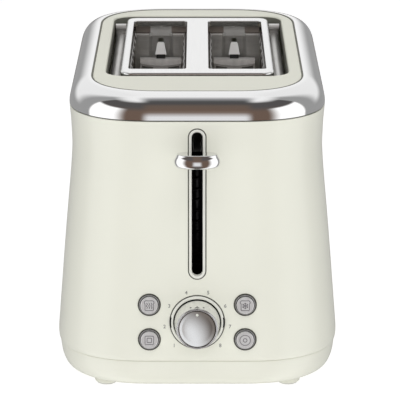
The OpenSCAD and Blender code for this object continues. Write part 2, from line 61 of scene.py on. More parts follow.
BEZEL = box_mm("top_bezel")
YC = (BEZEL[0][1] + BEZEL[1][1]) / 2
HALF_W = (BEZEL[1][0] - BEZEL[0][0]) / 2
HALF_L = (BEZEL[1][1] - BEZEL[0][1]) / 2
SHOULDER = BEZEL[0][2] - 0.15
HOUSING = box_mm("housing_shell")
SEAM = HOUSING[0][2]
WIDEST = HOUSING[1][0] - HALF_W
PANEL = box_mm("top_panel")
PANEL_TOP = PANEL[1][2]
PLATE = box_mm("slot_plate")
PLATE_Y = (PLATE[0][1] + PLATE[1][1]) / 2 - YC
TRIM = box_mm("lever_slot_trim")
CORNER = 57.0
BODY_PROFILE = [(0, 9.0), (0.034, 9.3), (0.347, 5.1), (0.51, 2.8), (0.616, 1.2),
                (0.716, -0.3), (0.773, -1.0), (0.823, -1.4), (0.873, -1.2), (0.923, -0.9), (1, 0)]
BASE_PROFILE = [(3, 13), (3.3, 10), (4.2, 7.2), (6, 4.9), (9, 3.2), (13, 2), (18, 1.3), (22.3, 1)]
SLOT_X = 26.7
SLOT_W = 38.3
SLOT_L = 146.0
SLOTS_Y = PLATE_Y
CAGE_Y0 = SLOTS_Y - SLOT_L / 2 - 4
CAGE_Y1 = SLOTS_Y + SLOT_L / 2 + 4
LEDGE_Z = PANEL_TOP - 10.5
BUTTON_X = 31.1
BUTTON_V = 11.6
FEET = [(x, y) for x in (-60, 60) for y in (-124.5, 124.5)]
SIDES = ((-1, "left"), (1, "right"))
TRAVEL, LIFT, ARM_DROP = 76, 10, 12
EYE_PITCH = math.radians(17)

LEAN = math.atan((9.3 - 5.1) / (0.313 * (SHOULDER - SEAM)))
DIAL = box_mm("dial_bezel")
DIAL_Z = (DIAL[0][2] + DIAL[1][2]) / 2 - 0.04


def flare(z):
    """Outward offset of the housing at a height, smooth, straight behind the controls."""
    s = min(max((z - SEAM) / (SHOULDER - SEAM), 0.0), 1.0)
    p = BODY_PROFILE
    k = max(i for i in range(len(p) - 1) if s >= p[i][0])

    def slope(i):
        if i in (1, 2):
            return (p[2][1] - p[1][1]) / (p[2][0] - p[1][0])
        a, b = max(i - 1, 0), min(i + 1, len(p) - 1)
        return (p[b][1] - p[a][1]) / (p[b][0] - p[a][0])

    h = p[k + 1][0] - p[k][0]
    t = (s - p[k][0]) / h
    return ((2 * t ** 3 - 3 * t ** 2 + 1) * p[k][1] + (t ** 3 - 2 * t ** 2 + t) * h * slope(k)
            + (3 * t ** 2 - 2 * t ** 3) * p[k + 1][1] + (t ** 3 - t ** 2) * h * slope(k + 1))


PANEL_Y = -HALF_L - flare(DIAL_Z)


def on_panel(u, v, w):
    """A point of the sloping front face: u across, v up the slope, w out of it."""
    c, s = math.cos(LEAN), math.sin(LEAN)
    return (u, PANEL_Y - w * c + v * s, DIAL_Z + v * c + w * s)


def in_metres(point):
    """A design point in millimetres, in the frame's metres."""
    x, y, z = point
    return (x / 1000, (y + YC) / 1000, z / 1000)


# Mesh helpers. Points are design millimetres.

def outline(a, b, c, y0=0.0, steps=24, nx=8, ny=14, power=2.4):
    """Rectangle with soft superelliptic corners, anticlockwise."""
    corners = []
    for sx, sy, forwards in ((1, 1, 1), (-1, 1, 0), (-1, -1, 1), (1, -1, 0)):
        arc = []
        for i in range(steps + 1):
            t = math.pi / 2 * (i if forwards else steps - i) / steps
            arc.append((sx * (a - c + c * max(math.cos(t), 0) ** (2 / power)),
                        y0 + sy * (b - c + c * max(math.sin(t), 0) ** (2 / power))))
        corners.append(arc)
    points = []
    for k, arc in enumerate(corners):
        points += arc
        n = (nx, ny)[k % 2]
        p, q = arc[-1], corners[(k + 1) % 4][0]
        points += [(p[0] + (q[0] - p[0]) * i / n, p[1] + (q[1] - p[1]) * i / n)
                   for i in range(1, n)]
    return points


def level(z, a, b, c, **more):
    return [(x, y, z) for x, y in outline(a, b, c, **more)]


def loft(rings, loop=False, start=False, end=False):
    n = len(rings[0])
    verts = [p for r in rings for p in r]
    faces = []
    for i in range(len(rings) - (0 if loop else 1)):
        k = (i + 1) % len(rings)
        for j in range(n):
            q = (j + 1) % n
            faces.append((i * n + j, i * n + q, k * n + q, k * n + j))
    if start:
        faces.append(tuple(range(n - 1, -1, -1)))
    if end:
        faces.append(tuple(range((len(rings) - 1) * n, len(rings) * n)))
    return verts, faces


def spin(profile, place=on_panel, centre=(0, 0), steps=96, loop=False, start=True, end=True,
         ripple=None):
    """Surface of revolution from (radius, w) pairs, its axis along the panel's normal."""
    rings = []
    for r, w in profile:
        ring = []
        for i in range(steps):
            t = 2 * math.pi * i / steps
            rr = r + (ripple(t, r, w) if ripple else 0)
            ring.append(place(centre[0] + rr * math.cos(t), centre[1] + rr * math.sin(t), w))
        rings.append(ring)
    return loft(rings, loop, start and not loop, end and not loop)


def upright(x0, y0):
    """Places a revolved profile on a vertical axis."""
    return lambda u, v, w: (x0 + u, y0 + v, w)


def slab(outer, holes):
    """Closed plate: each edge is a list of rings from its top support line to its lower one."""
    verts, faces, tops, lows = [], [], [], []
    for rings in [outer] + holes:
        v, f = loft(rings)
        base = len(verts)
        verts += v
        faces += [tuple(i + base for i in face) for face in f]
        n = len(rings[0])
        tops.append(list(range(base, base + n)))
        lows.append(list(range(base + len(v) - n, base + len(v))))
    for loops in (tops, lows):
        flat = [i for loop in loops for i in loop]
        tris = geometry.tessellate_polygon(
            [[Vector((verts[i][0], verts[i][1], 0)) for i in loop] for loop in loops])
        faces += [tuple(flat[i] for i in t) for t in tris]
    return verts, faces


def tube(points, radius, sides=10, loop=False):
    pts = [Vector(p) for p in points]
    rings = []
    side = None
    for i, p in enumerate(pts):
        if loop:
            d = pts[(i + 1) % len(pts)] - pts[i - 1]
        else:
            d = pts[min(i + 1, len(pts) - 1)] - pts[max(i - 1, 0)]
        d.normalize()
        if side is None:
            side = d.orthogonal().normalized()
        side = (side - d * side.dot(d)).normalized()
        up = d.cross(side)
        r = radius(i / (len(pts) - 1)) if callable(radius) else radius
        rings.append([tuple(p + r * (math.cos(t) * side + math.sin(t) * up))
                      for t in (2 * math.pi * k / sides for k in range(sides))])
    return loft(rings, loop, not loop, not loop)


def block(x0, x1, y0, y1, z0, z1, r=0.3):
    """Box with chamfer-rounded edges."""
    def ring(z, inset):
        a, b = (x1 - x0) / 2 - inset, (y1 - y0) / 2 - inset
        c = min(max(r - inset * 0.5, 0.05), a * 0.9, b * 0.9)
        return [(x + (x0 + x1) / 2, y + (y0 + y1) / 2, z)
                for x, y in outline(a, b, c, steps=3, nx=1, ny=1, power=2)]
    return loft([ring(z0, r), ring(z0 + 0.3 * r, 0.3 * r), ring(z0 + r, 0), ring(z1 - r, 0),
                 ring(z1 - 0.3 * r, 0.3 * r), ring(z1, r)], start=True, end=True)


def plain_box(half, y0, y1, z0, z1):
    """Sharp box centred on X, for cutting."""
    return loft([[(-half, y0, z), (half, y0, z), (half, y1, z), (-half, y1, z)] for z in (z0, z1)],
                start=True, end=True)


def joined(*parts):
    verts, faces = [], []
    for v, f in parts:
        base = len(verts)
        verts += list(v)
        faces += [tuple(i + base for i in face) for face in f]
    return verts, faces


def mesh_of(name, shape, angle=38, flip=True):
    verts, faces = shape
    mesh = bpy.data.meshes.new(name)
    mesh.from_pydata([in_metres(p) for p in verts], [], faces)
    bm = bmesh.new()
    bm.from_mesh(mesh)
    bmesh.ops.remove_doubles(bm, verts=bm.verts, dist=1e-7)
    bmesh.ops.dissolve_degenerate(bm, edges=bm.edges, dist=1e-8)
    if flip:
        bmesh.ops.recalc_face_normals(bm, faces=bm.faces)
    bm.to_mesh(mesh)
    bm.free()
    mesh.polygons.foreach_set("use_smooth", [True] * len(mesh.polygons))
    mesh.set_sharp_from_angle(angle=math.radians(angle))
    return mesh


def piece(name, shape, body, material, replaces=(), angle=38):
    """A finished object that rides on a body and stands for CAD nodes."""
    mesh = shape if isinstance(shape, bpy.types.Mesh) else mesh_of(name, shape, angle)
    obj = bpy.data.objects.new(name, mesh)
    bpy.context.scene.collection.objects.link(obj)
    obj.data.materials.append(material)
    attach(obj, body)
    if replaces:
        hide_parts(*replaces)
    return obj


def cut(name, shape, cutters, operation="DIFFERENCE", notch=None, angle=38):
    """Mesh of shape with holes; the smooth surface keeps the normals it had before the cut."""
    whole = mesh_of(name + "_whole", shape, angle)
    normals = [tuple(c.vector) for c in whole.corner_normals]
    polygons = [list(p.vertices) for p in whole.polygons]
    starts = [p.loop_start for p in whole.polygons]
    points = [v.co.copy() for v in whole.vertices]
    tree = BVHTree.FromPolygons(points, polygons)
    face_normals = [p.normal.copy() for p in whole.polygons]

    link = bpy.context.scene.collection.objects.link
    base = bpy.data.objects.new(name + "_base", whole)
    link(base)
    tools = []
    for shapes, kind in [(cutters, operation)] + ([(notch, "DIFFERENCE")] if notch else []):
        tool = bpy.data.objects.new(name + "_tool", mesh_of(name + "_tool", joined(*shapes)))
        link(tool)
        tools.append(tool)
        modifier = base.modifiers.new("cut", "BOOLEAN")
        modifier.object, modifier.operation, modifier.solver = tool, kind, "EXACT"
    graph = bpy.context.evaluated_depsgraph_get()
    mesh = bpy.data.meshes.new_from_object(base.evaluated_get(graph))
    for obj in [base] + tools:
        bpy.data.objects.remove(obj)

    mesh.polygons.foreach_set("use_smooth", [True] * len(mesh.polygons))
    mesh.set_sharp_from_angle(angle=math.radians(angle))
    custom = [(0.0, 0.0, 0.0)] * len(mesh.loops)
    for p in mesh.polygons:
        _, _, index, distance = tree.find_nearest(p.center)
        if index is None or distance > 3e-5 or face_normals[index].dot(p.normal) < 0.9:
            continue
        corners = [points[i] for i in polygons[index]]
        for loop in p.loop_indices:
            weights = interpolate.poly_3d_calc(corners, mesh.vertices[mesh.loops[loop].vertex_index].co)
            n = Vector((0, 0, 0))
            for k, weight in enumerate(weights):
                n += weight * Vector(normals[starts[index] + k])
            if n.length > 0.5:
                custom[loop] = tuple(n.normalized())
    mesh.normals_split_custom_set(custom)
    mesh.materials.clear()
    return mesh


# Materials

def material(name, color, rough, metal=0.0, spread=0.04, scale=60.0, grain=900.0, bump=0.02,
             stretch=(1, 1, 1), rough_spread=0.06, coat=0.0, coat_rough=0.1, ior=1.46, tint=None,
             depth=0.00003, anisotropic=0.0):
    """Principled material whose colour, roughness and bump vary with noise in object space."""
    mat = bpy.data.materials.new(name)
    mat.use_nodes = True
    nodes, links = mat.node_tree.nodes, mat.node_tree.links
    nodes.clear()
    out = nodes.new("ShaderNodeOutputMaterial")
    shader = nodes.new("ShaderNodeBsdfPrincipled")
    links.new(shader.outputs[0], out.inputs[0])
    shader.inputs["Metallic"].default_value = metal
    shader.inputs["IOR"].default_value = ior
    shader.inputs["Coat Weight"].default_value = coat
    shader.inputs["Coat Roughness"].default_value = coat_rough
    shader.inputs["Anisotropic"].default_value = anisotropic
    coord = nodes.new("ShaderNodeTexCoord")
    place = nodes.new("ShaderNodeMapping")
    place.inputs["Scale"].default_value = stretch
    links.new(coord.outputs["Object"], place.inputs["Vector"])

    wide = nodes.new("ShaderNodeTexNoise")
    wide.inputs["Scale"].default_value = scale
    wide.inputs["Detail"].default_value = 3
    links.new(place.outputs[0], wide.inputs["Vector"])
    ramp = nodes.new("ShaderNodeValToRGB")
    other = tint or tuple(max(c * (1 - 2 * spread), 0) for c in color)
    ramp.color_ramp.elements[0].position = 0.3
    ramp.color_ramp.elements[1].position = 0.7
    ramp.color_ramp.elements[0].color = (*other, 1)
    ramp.color_ramp.elements[1].color = (*color, 1)
    links.new(wide.outputs["Fac"], ramp.inputs["Fac"])
    links.new(ramp.outputs["Color"], shader.inputs["Base Color"])

    fine = nodes.new("ShaderNodeTexNoise")
    fine.inputs["Scale"].default_value = grain
    fine.inputs["Detail"].default_value = 4
    links.new(place.outputs[0], fine.inputs["Vector"])
    spread_rough = nodes.new("ShaderNodeMapRange")
    spread_rough.inputs["To Min"].default_value = max(rough - rough_spread, 0.02)
    spread_rough.inputs["To Max"].default_value = min(rough + rough_spread, 1.0)
    links.new(fine.outputs["Fac"], spread_rough.inputs["Value"])
    links.new(spread_rough.outputs[0], shader.inputs["Roughness"])
    lift = nodes.new("ShaderNodeBump")
    lift.inputs["Strength"].default_value = bump
    lift.inputs["Distance"].default_value = depth
    links.new(fine.outputs["Fac"], lift.inputs["Height"])
    links.new(lift.outputs[0], shader.inputs["Normal"])
    return mat


def own_nodes(mat):
    """A material's nodes, its links and its Principled shader."""
    nodes = mat.node_tree.nodes
    return nodes, mat.node_tree.links, next(n for n in nodes if n.type == "BSDF_PRINCIPLED")


def add_pattern(mat, kind, scale, colors, factor=1.0, stretch=(1, 1, 1), low=0.45, high=0.55):
    """Mixes a second procedural pattern into a material's colour."""
    nodes, links, shader = own_nodes(mat)
    before = shader.inputs["Base Color"].links[0].from_socket
    coord = nodes.new("ShaderNodeTexCoord")
    place = nodes.new("ShaderNodeMapping")
    place.inputs["Scale"].default_value = stretch
    pattern = nodes.new(kind)
    pattern.inputs["Scale"].default_value = scale
    ramp = nodes.new("ShaderNodeValToRGB")
    ramp.color_ramp.elements[0].position = low
    ramp.color_ramp.elements[1].position = high
    ramp.color_ramp.elements[0].color = (0, 0, 0, 1)
    ramp.color_ramp.elements[1].color = (factor, factor, factor, 1)
    mix = nodes.new("ShaderNodeMixRGB")
    mix.inputs["Color2"].default_value = (*colors, 1)
    links.new(coord.outputs["Object"], place.inputs["Vector"])
    links.new(place.outputs[0], pattern.inputs["Vector"])
    value = pattern.outputs.get("Distance") or pattern.outputs.get("Fac")
    links.new(value, ramp.inputs["Fac"])
    links.new(ramp.outputs["Color"], mix.inputs["Fac"])
    links.new(before, mix.inputs["Color1"])
    links.new(mix.outputs["Color"], shader.inputs["Base Color"])


def rings_on(mat, centre, bands, strength):
    """Adds fine concentric turning marks round the dial's axis."""
    nodes, links, shader = own_nodes(mat)
    coord = nodes.new("ShaderNodeTexCoord")
    place = nodes.new("ShaderNodeMapping")
    place.vector_type = "TEXTURE"
    place.inputs["Location"].default_value = centre
    place.inputs["Rotation"].default_value = (-LEAN, 0, 0)
    length = nodes.new("ShaderNodeVectorMath")
    length.operation = "LENGTH"
    wave = nodes.new("ShaderNodeMath")
    wave.operation = "MULTIPLY"
    wave.inputs[1].default_value = bands
    noise = nodes.new("ShaderNodeTexNoise")
    noise.noise_dimensions = "1D"
    noise.inputs["Scale"].default_value = 1.0
    noise.inputs["Detail"].default_value = 4
    lift = next(n for n in nodes if n.type == "BUMP")
    second = nodes.new("ShaderNodeBump")
    second.inputs["Strength"].default_value = strength
    second.inputs["Distance"].default_value = 0.00003
    links.new(coord.outputs["Object"], place.inputs["Vector"])
    links.new(place.outputs[0], length.inputs[0])
    links.new(length.outputs["Value"], wave.inputs[0])
    links.new(wave.outputs[0], noise.inputs["W"])
    links.new(noise.outputs["Fac"], second.inputs["Height"])
    links.new(lift.outputs[0], second.inputs["Normal"])
    links.new(second.outputs[0], shader.inputs["Normal"])


M = {
    "cream_shell": material("cream_gloss_plastic", (0.80, 0.80, 0.705), 0.30, spread=0.008, scale=25,
                            grain=2600, bump=0.06, rough_spread=0.04, coat=0.25, coat_rough=0.12),
    "cream_trim": material("cream_satin_plastic", (0.73, 0.73, 0.635), 0.42, spread=0.01, scale=30,
                           grain=3000, bump=0.10, rough_spread=0.05),
    "pale_trim": material("pale_trim_plastic", (0.78, 0.78, 0.72), 0.32, spread=0.01, scale=40,
                          grain=3000, bump=0.05),
    "rubber_pad": material("rubber_pad", (0.64, 0.64, 0.60), 0.75, spread=0.08, scale=300,
                           grain=2500, bump=0.4, ior=1.5),
    "bright_chrome": material("bright_chrome", (0.86, 0.86, 0.86), 0.055, 1.0, spread=0.01, scale=18,
                              grain=700, bump=0.015, rough_spread=0.015),
    "polished_steel": material("polished_steel", (0.82, 0.82, 0.815), 0.16, 1.0, spread=0.015,
                               scale=40, grain=500, bump=0.05, stretch=(18, 1, 18),
                               rough_spread=0.05),
    "plain_steel": material("aluminised_steel", (0.68, 0.67, 0.65), 0.38, 0.7, spread=0.10, scale=45,
                            grain=420, bump=0.12, stretch=(1, 1, 6), rough_spread=0.10),
    "satin_silver": material("satin_silver_coat", (0.60, 0.60, 0.60), 0.34, 0.85, spread=0.02,
                             scale=90, grain=3500, bump=0.10, rough_spread=0.05),
    "black_plastic": material("black_plastic", (0.010, 0.010, 0.010), 0.55, spread=0.15, scale=90,
                              grain=2600, bump=0.25),
    "white_plastic": material("white_nylon", (0.72, 0.71, 0.67), 0.45, spread=0.03, scale=80,
                              grain=1800, bump=0.12),
    "mica": material("mica_board", (0.55, 0.47, 0.33), 0.38, spread=0.16, scale=110, grain=700,
                     bump=0.2, rough_spread=0.12),
    "heating_alloy": material("heating_ribbon", (0.20, 0.17, 0.15), 0.5, 0.9, spread=0.2, scale=150,
                              grain=900, bump=0.15),
    "copper_coil": material("copper_winding", (0.50, 0.20, 0.07), 0.35, 0.8, spread=0.2, scale=60,
                            grain=1400, bump=0.5, stretch=(0.1, 0.1, 2), depth=0.0002),
    "board_green": material("solder_mask", (0.02, 0.13, 0.05), 0.3, spread=0.15, scale=120,
                            grain=900, bump=0.1),
    "board_brown": material("paper_board", (0.30, 0.19, 0.08), 0.6, spread=0.12, scale=140,
                            grain=1500, bump=0.2),
    "guard_wire": material("nickel_wire", (0.34, 0.33, 0.32), 0.30, 1.0, spread=0.10, scale=200,
                           grain=900, bump=0.15, rough_spread=0.1),
    "spun_metal": material("spun_metal", (0.95, 0.965, 0.97), 0.15, 1.0, spread=0.01, scale=60,
                           grain=1500, bump=0.03, rough_spread=0.03),
}
M["lever_chrome"] = material("lever_chrome", (0.84, 0.84, 0.84), 0.06, 1.0, spread=0.01, scale=60,
                             grain=800, bump=0.02, rough_spread=0.015)
M["cap_silver"] = material("button_cap_silver", (0.74, 0.735, 0.74), 0.36, 0.55, spread=0.02,
                           scale=120, grain=4200, bump=0.14, rough_spread=0.05)
M["symbol_ink"] = material("symbol_ink", (0.20, 0.19, 0.20), 0.5, spread=0.06, scale=400,
                           grain=3000, bump=0.05)
M["scale_ink"] = material("scale_ink", (0.26, 0.26, 0.25), 0.5, spread=0.05, scale=400,
                          grain=3000, bump=0.05)
M["marker_white"] = material("marker_white", (0.74, 0.75, 0.68), 0.4, spread=0.02, scale=300,
                             grain=3000, bump=0.05)
M["mark_ink"] = material("mark_ink", (0.07, 0.07, 0.07), 0.5, spread=0.05, scale=400, grain=3000,
                         bump=0.05)
M["rim_metal"] = material("turned_rim", (0.66, 0.66, 0.67), 0.20, 1.0, spread=0.02, scale=80,
                          grain=1800, bump=0.03)
# Painted shadow: a darker copy of the rack steel for the rack's low front part, which lies in the slot's
# shade.
M["shadow_steel"] = material("painted_shadow_rack_steel", (0.24, 0.225, 0.21), 0.42, 0.5, spread=0.12,
                             scale=70, grain=500, bump=0.12, stretch=(4, 1, 1), rough_spread=0.1)
M["tab_steel"] = material("bright_tab_steel", (0.92, 0.92, 0.91), 0.38, 0.3, spread=0.04, scale=90,
                          grain=700, bump=0.06, rough_spread=0.06)
# Painted shade: an olive-grey for the groove round the top panel and for a sheet over the opening's inner
# wall, where shade falls.
M["soft_seal"] = material("olive_seal", (0.15, 0.15, 0.125), 0.6, spread=0.1, scale=200, grain=2400,
                          bump=0.2)
# Painted light: a lighter copy of the plate steel for the upper part of the channels, lit through the opening
# above.
M["channel_steel"] = material("painted_light_channel_steel", (0.86, 0.85, 0.83), 0.5, 0.25, spread=0.05,
                              scale=70, grain=500, bump=0.08, rough_spread=0.08)
# Painted shade: near-black for the dial's seat, its side notches and the button wells, seen in gaps where
# shade falls.
M["painted_shade_black"] = material("painted_shade_black", (0.004, 0.004, 0.004), 0.6, spread=0.2, scale=200,
                           grain=2000, bump=0.2)
M["dark_steel"] = material("oiled_steel", (0.10, 0.10, 0.10), 0.4, 0.9, spread=0.2, scale=150,
                           grain=900, bump=0.2)
M["knob_cream"] = material("knob_cream_plastic", (0.76, 0.76, 0.70), 0.34, spread=0.01, scale=70,
                           grain=3200, bump=0.06)
# Painted shade: near-black rings set in the gaps and grooves where shade falls: under the bezel, round the
# lever slot, the dial and the buttons, and in the knob's grooves.
M["seal"] = material("dark_olive_seal", (0.060, 0.060, 0.048), 0.6, spread=0.1, scale=200,
                     grain=2400, bump=0.2)
# A darker, brown-grey steel for the end plates above the ledges.
M["tinted_steel"] = material("heat_tinted_steel", (0.46, 0.40, 0.36), 0.55, 0.3, spread=0.12,
                             scale=60, grain=500, bump=0.12, rough_spread=0.1)
# Painted highlight: a lighter copy of the plate steel for the ledge tops, which catch the light from above.
M["ledge_steel"] = material("painted_highlight_ledge_steel", (0.90, 0.89, 0.87), 0.45, 0.35, spread=0.05,
                            scale=90, grain=600, bump=0.08, rough_spread=0.08)
M["rack_steel"] = material("rack_steel", (0.70, 0.685, 0.67), 0.34, 0.5, spread=0.08, scale=60,
                           grain=500, bump=0.1, stretch=(4, 1, 1), rough_spread=0.08)
add_pattern(M["mica"], "ShaderNodeTexVoronoi", 260, (0.70, 0.62, 0.45), 0.35, low=0.2, high=0.5)
add_pattern(M["board_green"], "ShaderNodeTexWave", 90, (0.05, 0.24, 0.10), 0.6, stretch=(1, 1, 0.6))
add_pattern(M["board_brown"], "ShaderNodeTexWave", 70, (0.42, 0.25, 0.10), 0.6, stretch=(1, 1, 0.7))
add_pattern(M["plain_steel"], "ShaderNodeTexVoronoi", 120, (0.60, 0.59, 0.57), 0.3, low=0.3, high=0.7)
rings_on(M["spun_metal"], in_metres(on_panel(0, 0, 0)), bands=9000, strength=0.06)


def shade_from(mat, point, near, far, color):
    """Paints shade into a finish's colour: darkens it smoothly with the distance from a point of the object.
    """
    nodes, links, shader = own_nodes(mat)
    before = shader.inputs["Base Color"].links[0].from_socket
    coord = nodes.new("ShaderNodeTexCoord")
    distance = nodes.new("ShaderNodeVectorMath")
    distance.operation = "DISTANCE"
    distance.inputs[1].default_value = point
    fade = nodes.new("ShaderNodeMapRange")
    fade.interpolation_type = "SMOOTHSTEP"
    fade.inputs["From Min"].default_value = near
    fade.inputs["From Max"].default_value = far
    mix = nodes.new("ShaderNodeMixRGB")
    mix.inputs["Color2"].default_value = (*color, 1)
    links.new(coord.outputs["Object"], distance.inputs[0])
    links.new(distance.outputs["Value"], fade.inputs["Value"])
    links.new(fade.outputs[0], mix.inputs["Fac"])
    links.new(before, mix.inputs["Color1"])
    links.new(mix.outputs["Color"], shader.inputs["Base Color"])


# Painted reflection: the knob face's colour fades to grey-brown away from a point low on its left, in place
# of the dark surroundings mirrored at its upper right.
shade_from(M["spun_metal"], in_metres(on_panel(-12, -10, 17)), near=0.010, far=0.027,
           color=(0.20, 0.175, 0.155))


# Housing and base

def body_ring(z, offset, inset=0.0):
    return level(z, HALF_W + offset - inset, HALF_L + offset - inset, CORNER + offset / 2 - inset)


def lip_ring(z, inset):
    return level(z, HALF_W - inset, HALF_L - inset, CORNER + 2 - inset)


def base_ring(z, inset):
    return level(z, HALF_W + WIDEST - inset, HALF_L + WIDEST - inset, CORNER + 5 - 0.7 * inset)


def prism(points, y0, y1):
    """Extrudes (x, z) points along Y."""
    return loft([[(x, y0, z) for x, z in points], [(x, y1, z) for x, z in points]],
                start=True, end=True)


def stadium(radius, half, zc, arc=20, straight=14):
    points = [(radius * math.cos(math.pi * i / arc), zc + half + radius * math.sin(math.pi * i / arc))
              for i in range(arc + 1)]
    points += [(-radius, zc + half - 2 * half * i / straight) for i in range(1, straight)]
    points += [(-radius * math.cos(math.pi * i / arc), zc - half - radius * math.sin(math.pi * i / arc))
               for i in range(arc + 1)]
    points += [(radius, zc - half + 2 * half * i / straight) for i in range(1, straight)]
    return points


TRIM_BAND = 2.1
TRIM_LOW, TRIM_HIGH = TRIM[0][2], TRIM[1][2]
TRIM_R = (TRIM[1][0] - TRIM[0][0]) / 2
TRIM_HALF = (TRIM_HIGH - TRIM_LOW) / 2 - TRIM_R
TRIM_ZC = (TRIM_LOW + TRIM_HIGH) / 2

wall = 2.2
heights = [SEAM + 0.5 + (SHOULDER - 1.6 - SEAM) * i / 52 for i in range(53)]
outside = [body_ring(SEAM, 9.0, 0.55), body_ring(SEAM + 0.15, 9.0, 0.16)]
outside += [body_ring(z, flare(z)) for z in heights]
outside += [body_ring(SHOULDER - 0.8, 0, 0.16), body_ring(SHOULDER - 0.62, 0, 0.55)]
inner_heights = [SHOULDER - 2 - (SHOULDER - 2 - SEAM) * i / 12 for i in range(13)]
inside = [lip_ring(SHOULDER - 0.6, 3), lip_ring(SHOULDER + 5.2, 3),
          lip_ring(SHOULDER + 5.2, 3 + wall), lip_ring(SHOULDER - 2, 3 + wall)]
inside += [body_ring(z, flare(z), wall) for z in inner_heights[1:]]
holes = [prism(stadium(TRIM_R + 0.28, TRIM_HALF, TRIM_ZC), -HALF_L - 15, -HALF_L + 15)]
holes += [spin([(16.9, -9), (16.9, 9)], steps=96)]
holes += [spin([(6.75, -9), (6.75, 9)], centre=(sx * BUTTON_X, sv * BUTTON_V), steps=48)
          for sx in (-1, 1) for sv in (-1, 1)]
GLAND = box_mm("cord_gland")
GLAND_X = (GLAND[0][0] + GLAND[1][0]) / 2
GLAND_Z = (GLAND[0][2] + GLAND[1][2]) / 2 + 0.3


def on_rear(u, v, w):
    """Like on_panel, for the cord bushing in the rear face; u grows towards -X."""
    c, s = math.cos(LEAN), math.sin(LEAN)
    y = HALF_L + flare(GLAND_Z)
    return (GLAND_X - u, y + w * c - v * s, GLAND_Z + v * c + w * s)


holes += [spin([(6.1, -9), (6.1, 9)], place=on_rear, steps=48)]
piece("housing", cut("housing", loft(outside + inside, loop=True), holes), ROOT,
      M["cream_shell"], ["housing_shell"])


def spline(points, per=6):
    """Catmull-Rom curve through 2-D points."""
    out = []
    for i in range(len(points) - 1):
        p0 = points[max(i - 1, 0)]
        p1, p2 = points[i], points[i + 1]
        p3 = points[min(i + 2, len(points) - 1)]
        for k in range(per):
            t = k / per
            out.append(tuple(
                0.5 * (2 * b + (c - a) * t + (2 * a - 5 * b + 4 * c - d) * t * t
                       + (3 * b - a - 3 * c + d) * t ** 3)
                for a, b, c, d in zip(p0, p1, p2, p3)))
    return out + [points[-1]]


skirt = spline(BASE_PROFILE[:-1] + [(21.8, 1.02)], 5)
base_outer = [base_ring(z, i) for z, i in skirt]
base_outer += [base_ring(22.15, 1.15), base_ring(22.3, 1.5)]
base_inner = [base_ring(z, i) for z, i in ((22.3, 3.4), (13, 4.5), (8, 7), (5.8, 12))]
vents = [loft([[(x + px, y + py, z) for px, py in
                outline(11, 2, 1.98, steps=5, nx=2, ny=1, power=2)] for z in (1, 8)],
              start=True, end=True) for x in (-30, 0, 30) for y in range(-50, 71, 20)]
recess = [spin([(8.15, 1), (8.15, 5.0)], place=upright(x, y), steps=40) for x, y in FEET]
screw_holes = [spin([(3.3, 1), (3.3, 5.2)], place=upright(x, y), steps=24)
               for x in (-74, 74) for y in (-104, 104)]
handle_gap = [plain_box(46, 118, HALF_L + 20, 8.4, 19.6)]
piece("base_skirt", cut("base_skirt", loft(base_outer + base_inner, start=True, end=True),
                        vents + recess + screw_holes + handle_gap), ROOT,
      M["cream_shell"], ["base_tray"])

grip = [plain_box(45.4, HALF_L - 5, HALF_L + 30, 9.0, 19.0)]
notch = [spin([(28, 7), (28, 14)], place=upright(0, HALF_L + WIDEST + 24), steps=96)]
piece("crumb_tray_grip", cut("crumb_tray_grip", loft(base_outer, start=True, end=True), grip,
                             "INTERSECT", notch), "crumb_drawer", M["cream_shell"],
      ["crumb_tray_handle"])

for index, (x, y) in enumerate(FEET):
    name = f"foot_{index + 1}"
    foot = spin([(7.2, 1.25), (7.7, 1.6), (7.95, 2.25), (8, 3.2), (8, 6.15)],
                place=upright(x, y), steps=48)
    shown = ["feet"] if index == 0 else []
    piece(name, foot, ROOT, M["cream_trim"], shown)
    pad = spin([(5.6, 0), (6.2, 0.15), (6.4, 0.5), (6.4, 1.2)], place=upright(x, y), steps=40)
    piece(name + "_pad", pad, ROOT, M["rubber_pad"],
          ["foot_pads"] if index == 0 else [])


# Top: bezel, panel and slot plate

RING_W, RING_L = (PANEL[1][0] - PANEL[0][0]) / 2, (PANEL[1][1] - PANEL[0][1]) / 2
BEZEL_RISE = BEZEL[1][2] - SHOULDER - 0.5
fine = {"steps": 40, "nx": 12, "ny": 22}


def bezel_ring(t, thin, drop=0.0, inset=0.0):
    c, s = math.cos(t), math.sin(t)
    return level(SHOULDER + 0.15 + (BEZEL_RISE - thin) * s + drop,
                 RING_W + 0.45 + (HALF_W - RING_W - 0.45 - thin) * c - inset,
                 RING_L + 0.45 + (HALF_L - RING_L - 0.45 - thin) * c - inset,
                 48 + 9 * c - inset, **fine)


turns = [math.pi / 2 * i / 30 for i in range(31)]
bezel_rings = [bezel_ring(0, 0, -0.02, 0.5), bezel_ring(0, 0, -0.1, 0.2), bezel_ring(0, 0, 0.0, 0.02)]
bezel_rings += [bezel_ring(t, 0) for t in turns[2:]]
bezel_rings += [bezel_ring(turns[-1], 0, -0.06, 0.12), bezel_ring(turns[-1], 0, -0.2, 0.18),
                bezel_ring(turns[-1], 0, -1.2, 0.2)]
bezel_rings += [bezel_ring(t, 1.2) for t in reversed(turns[::3])]
piece("top_bezel_ring", loft(bezel_rings, loop=True), ROOT, M["bright_chrome"],
      ["top_bezel"], angle=50)

# Painted shadow: a near-black ring in the seam under the chrome bezel.
lower_seal = [lip_ring(SHOULDER + z, i) for z, i in
              ((-0.58, 0.75), (-0.4, 0.42), (-0.1, 0.42), (0.1, 0.75), (0.1, 2.2), (-0.58, 2.2))]
piece("shoulder_seal", loft(lower_seal, loop=True), ROOT, M["seal"], angle=60)
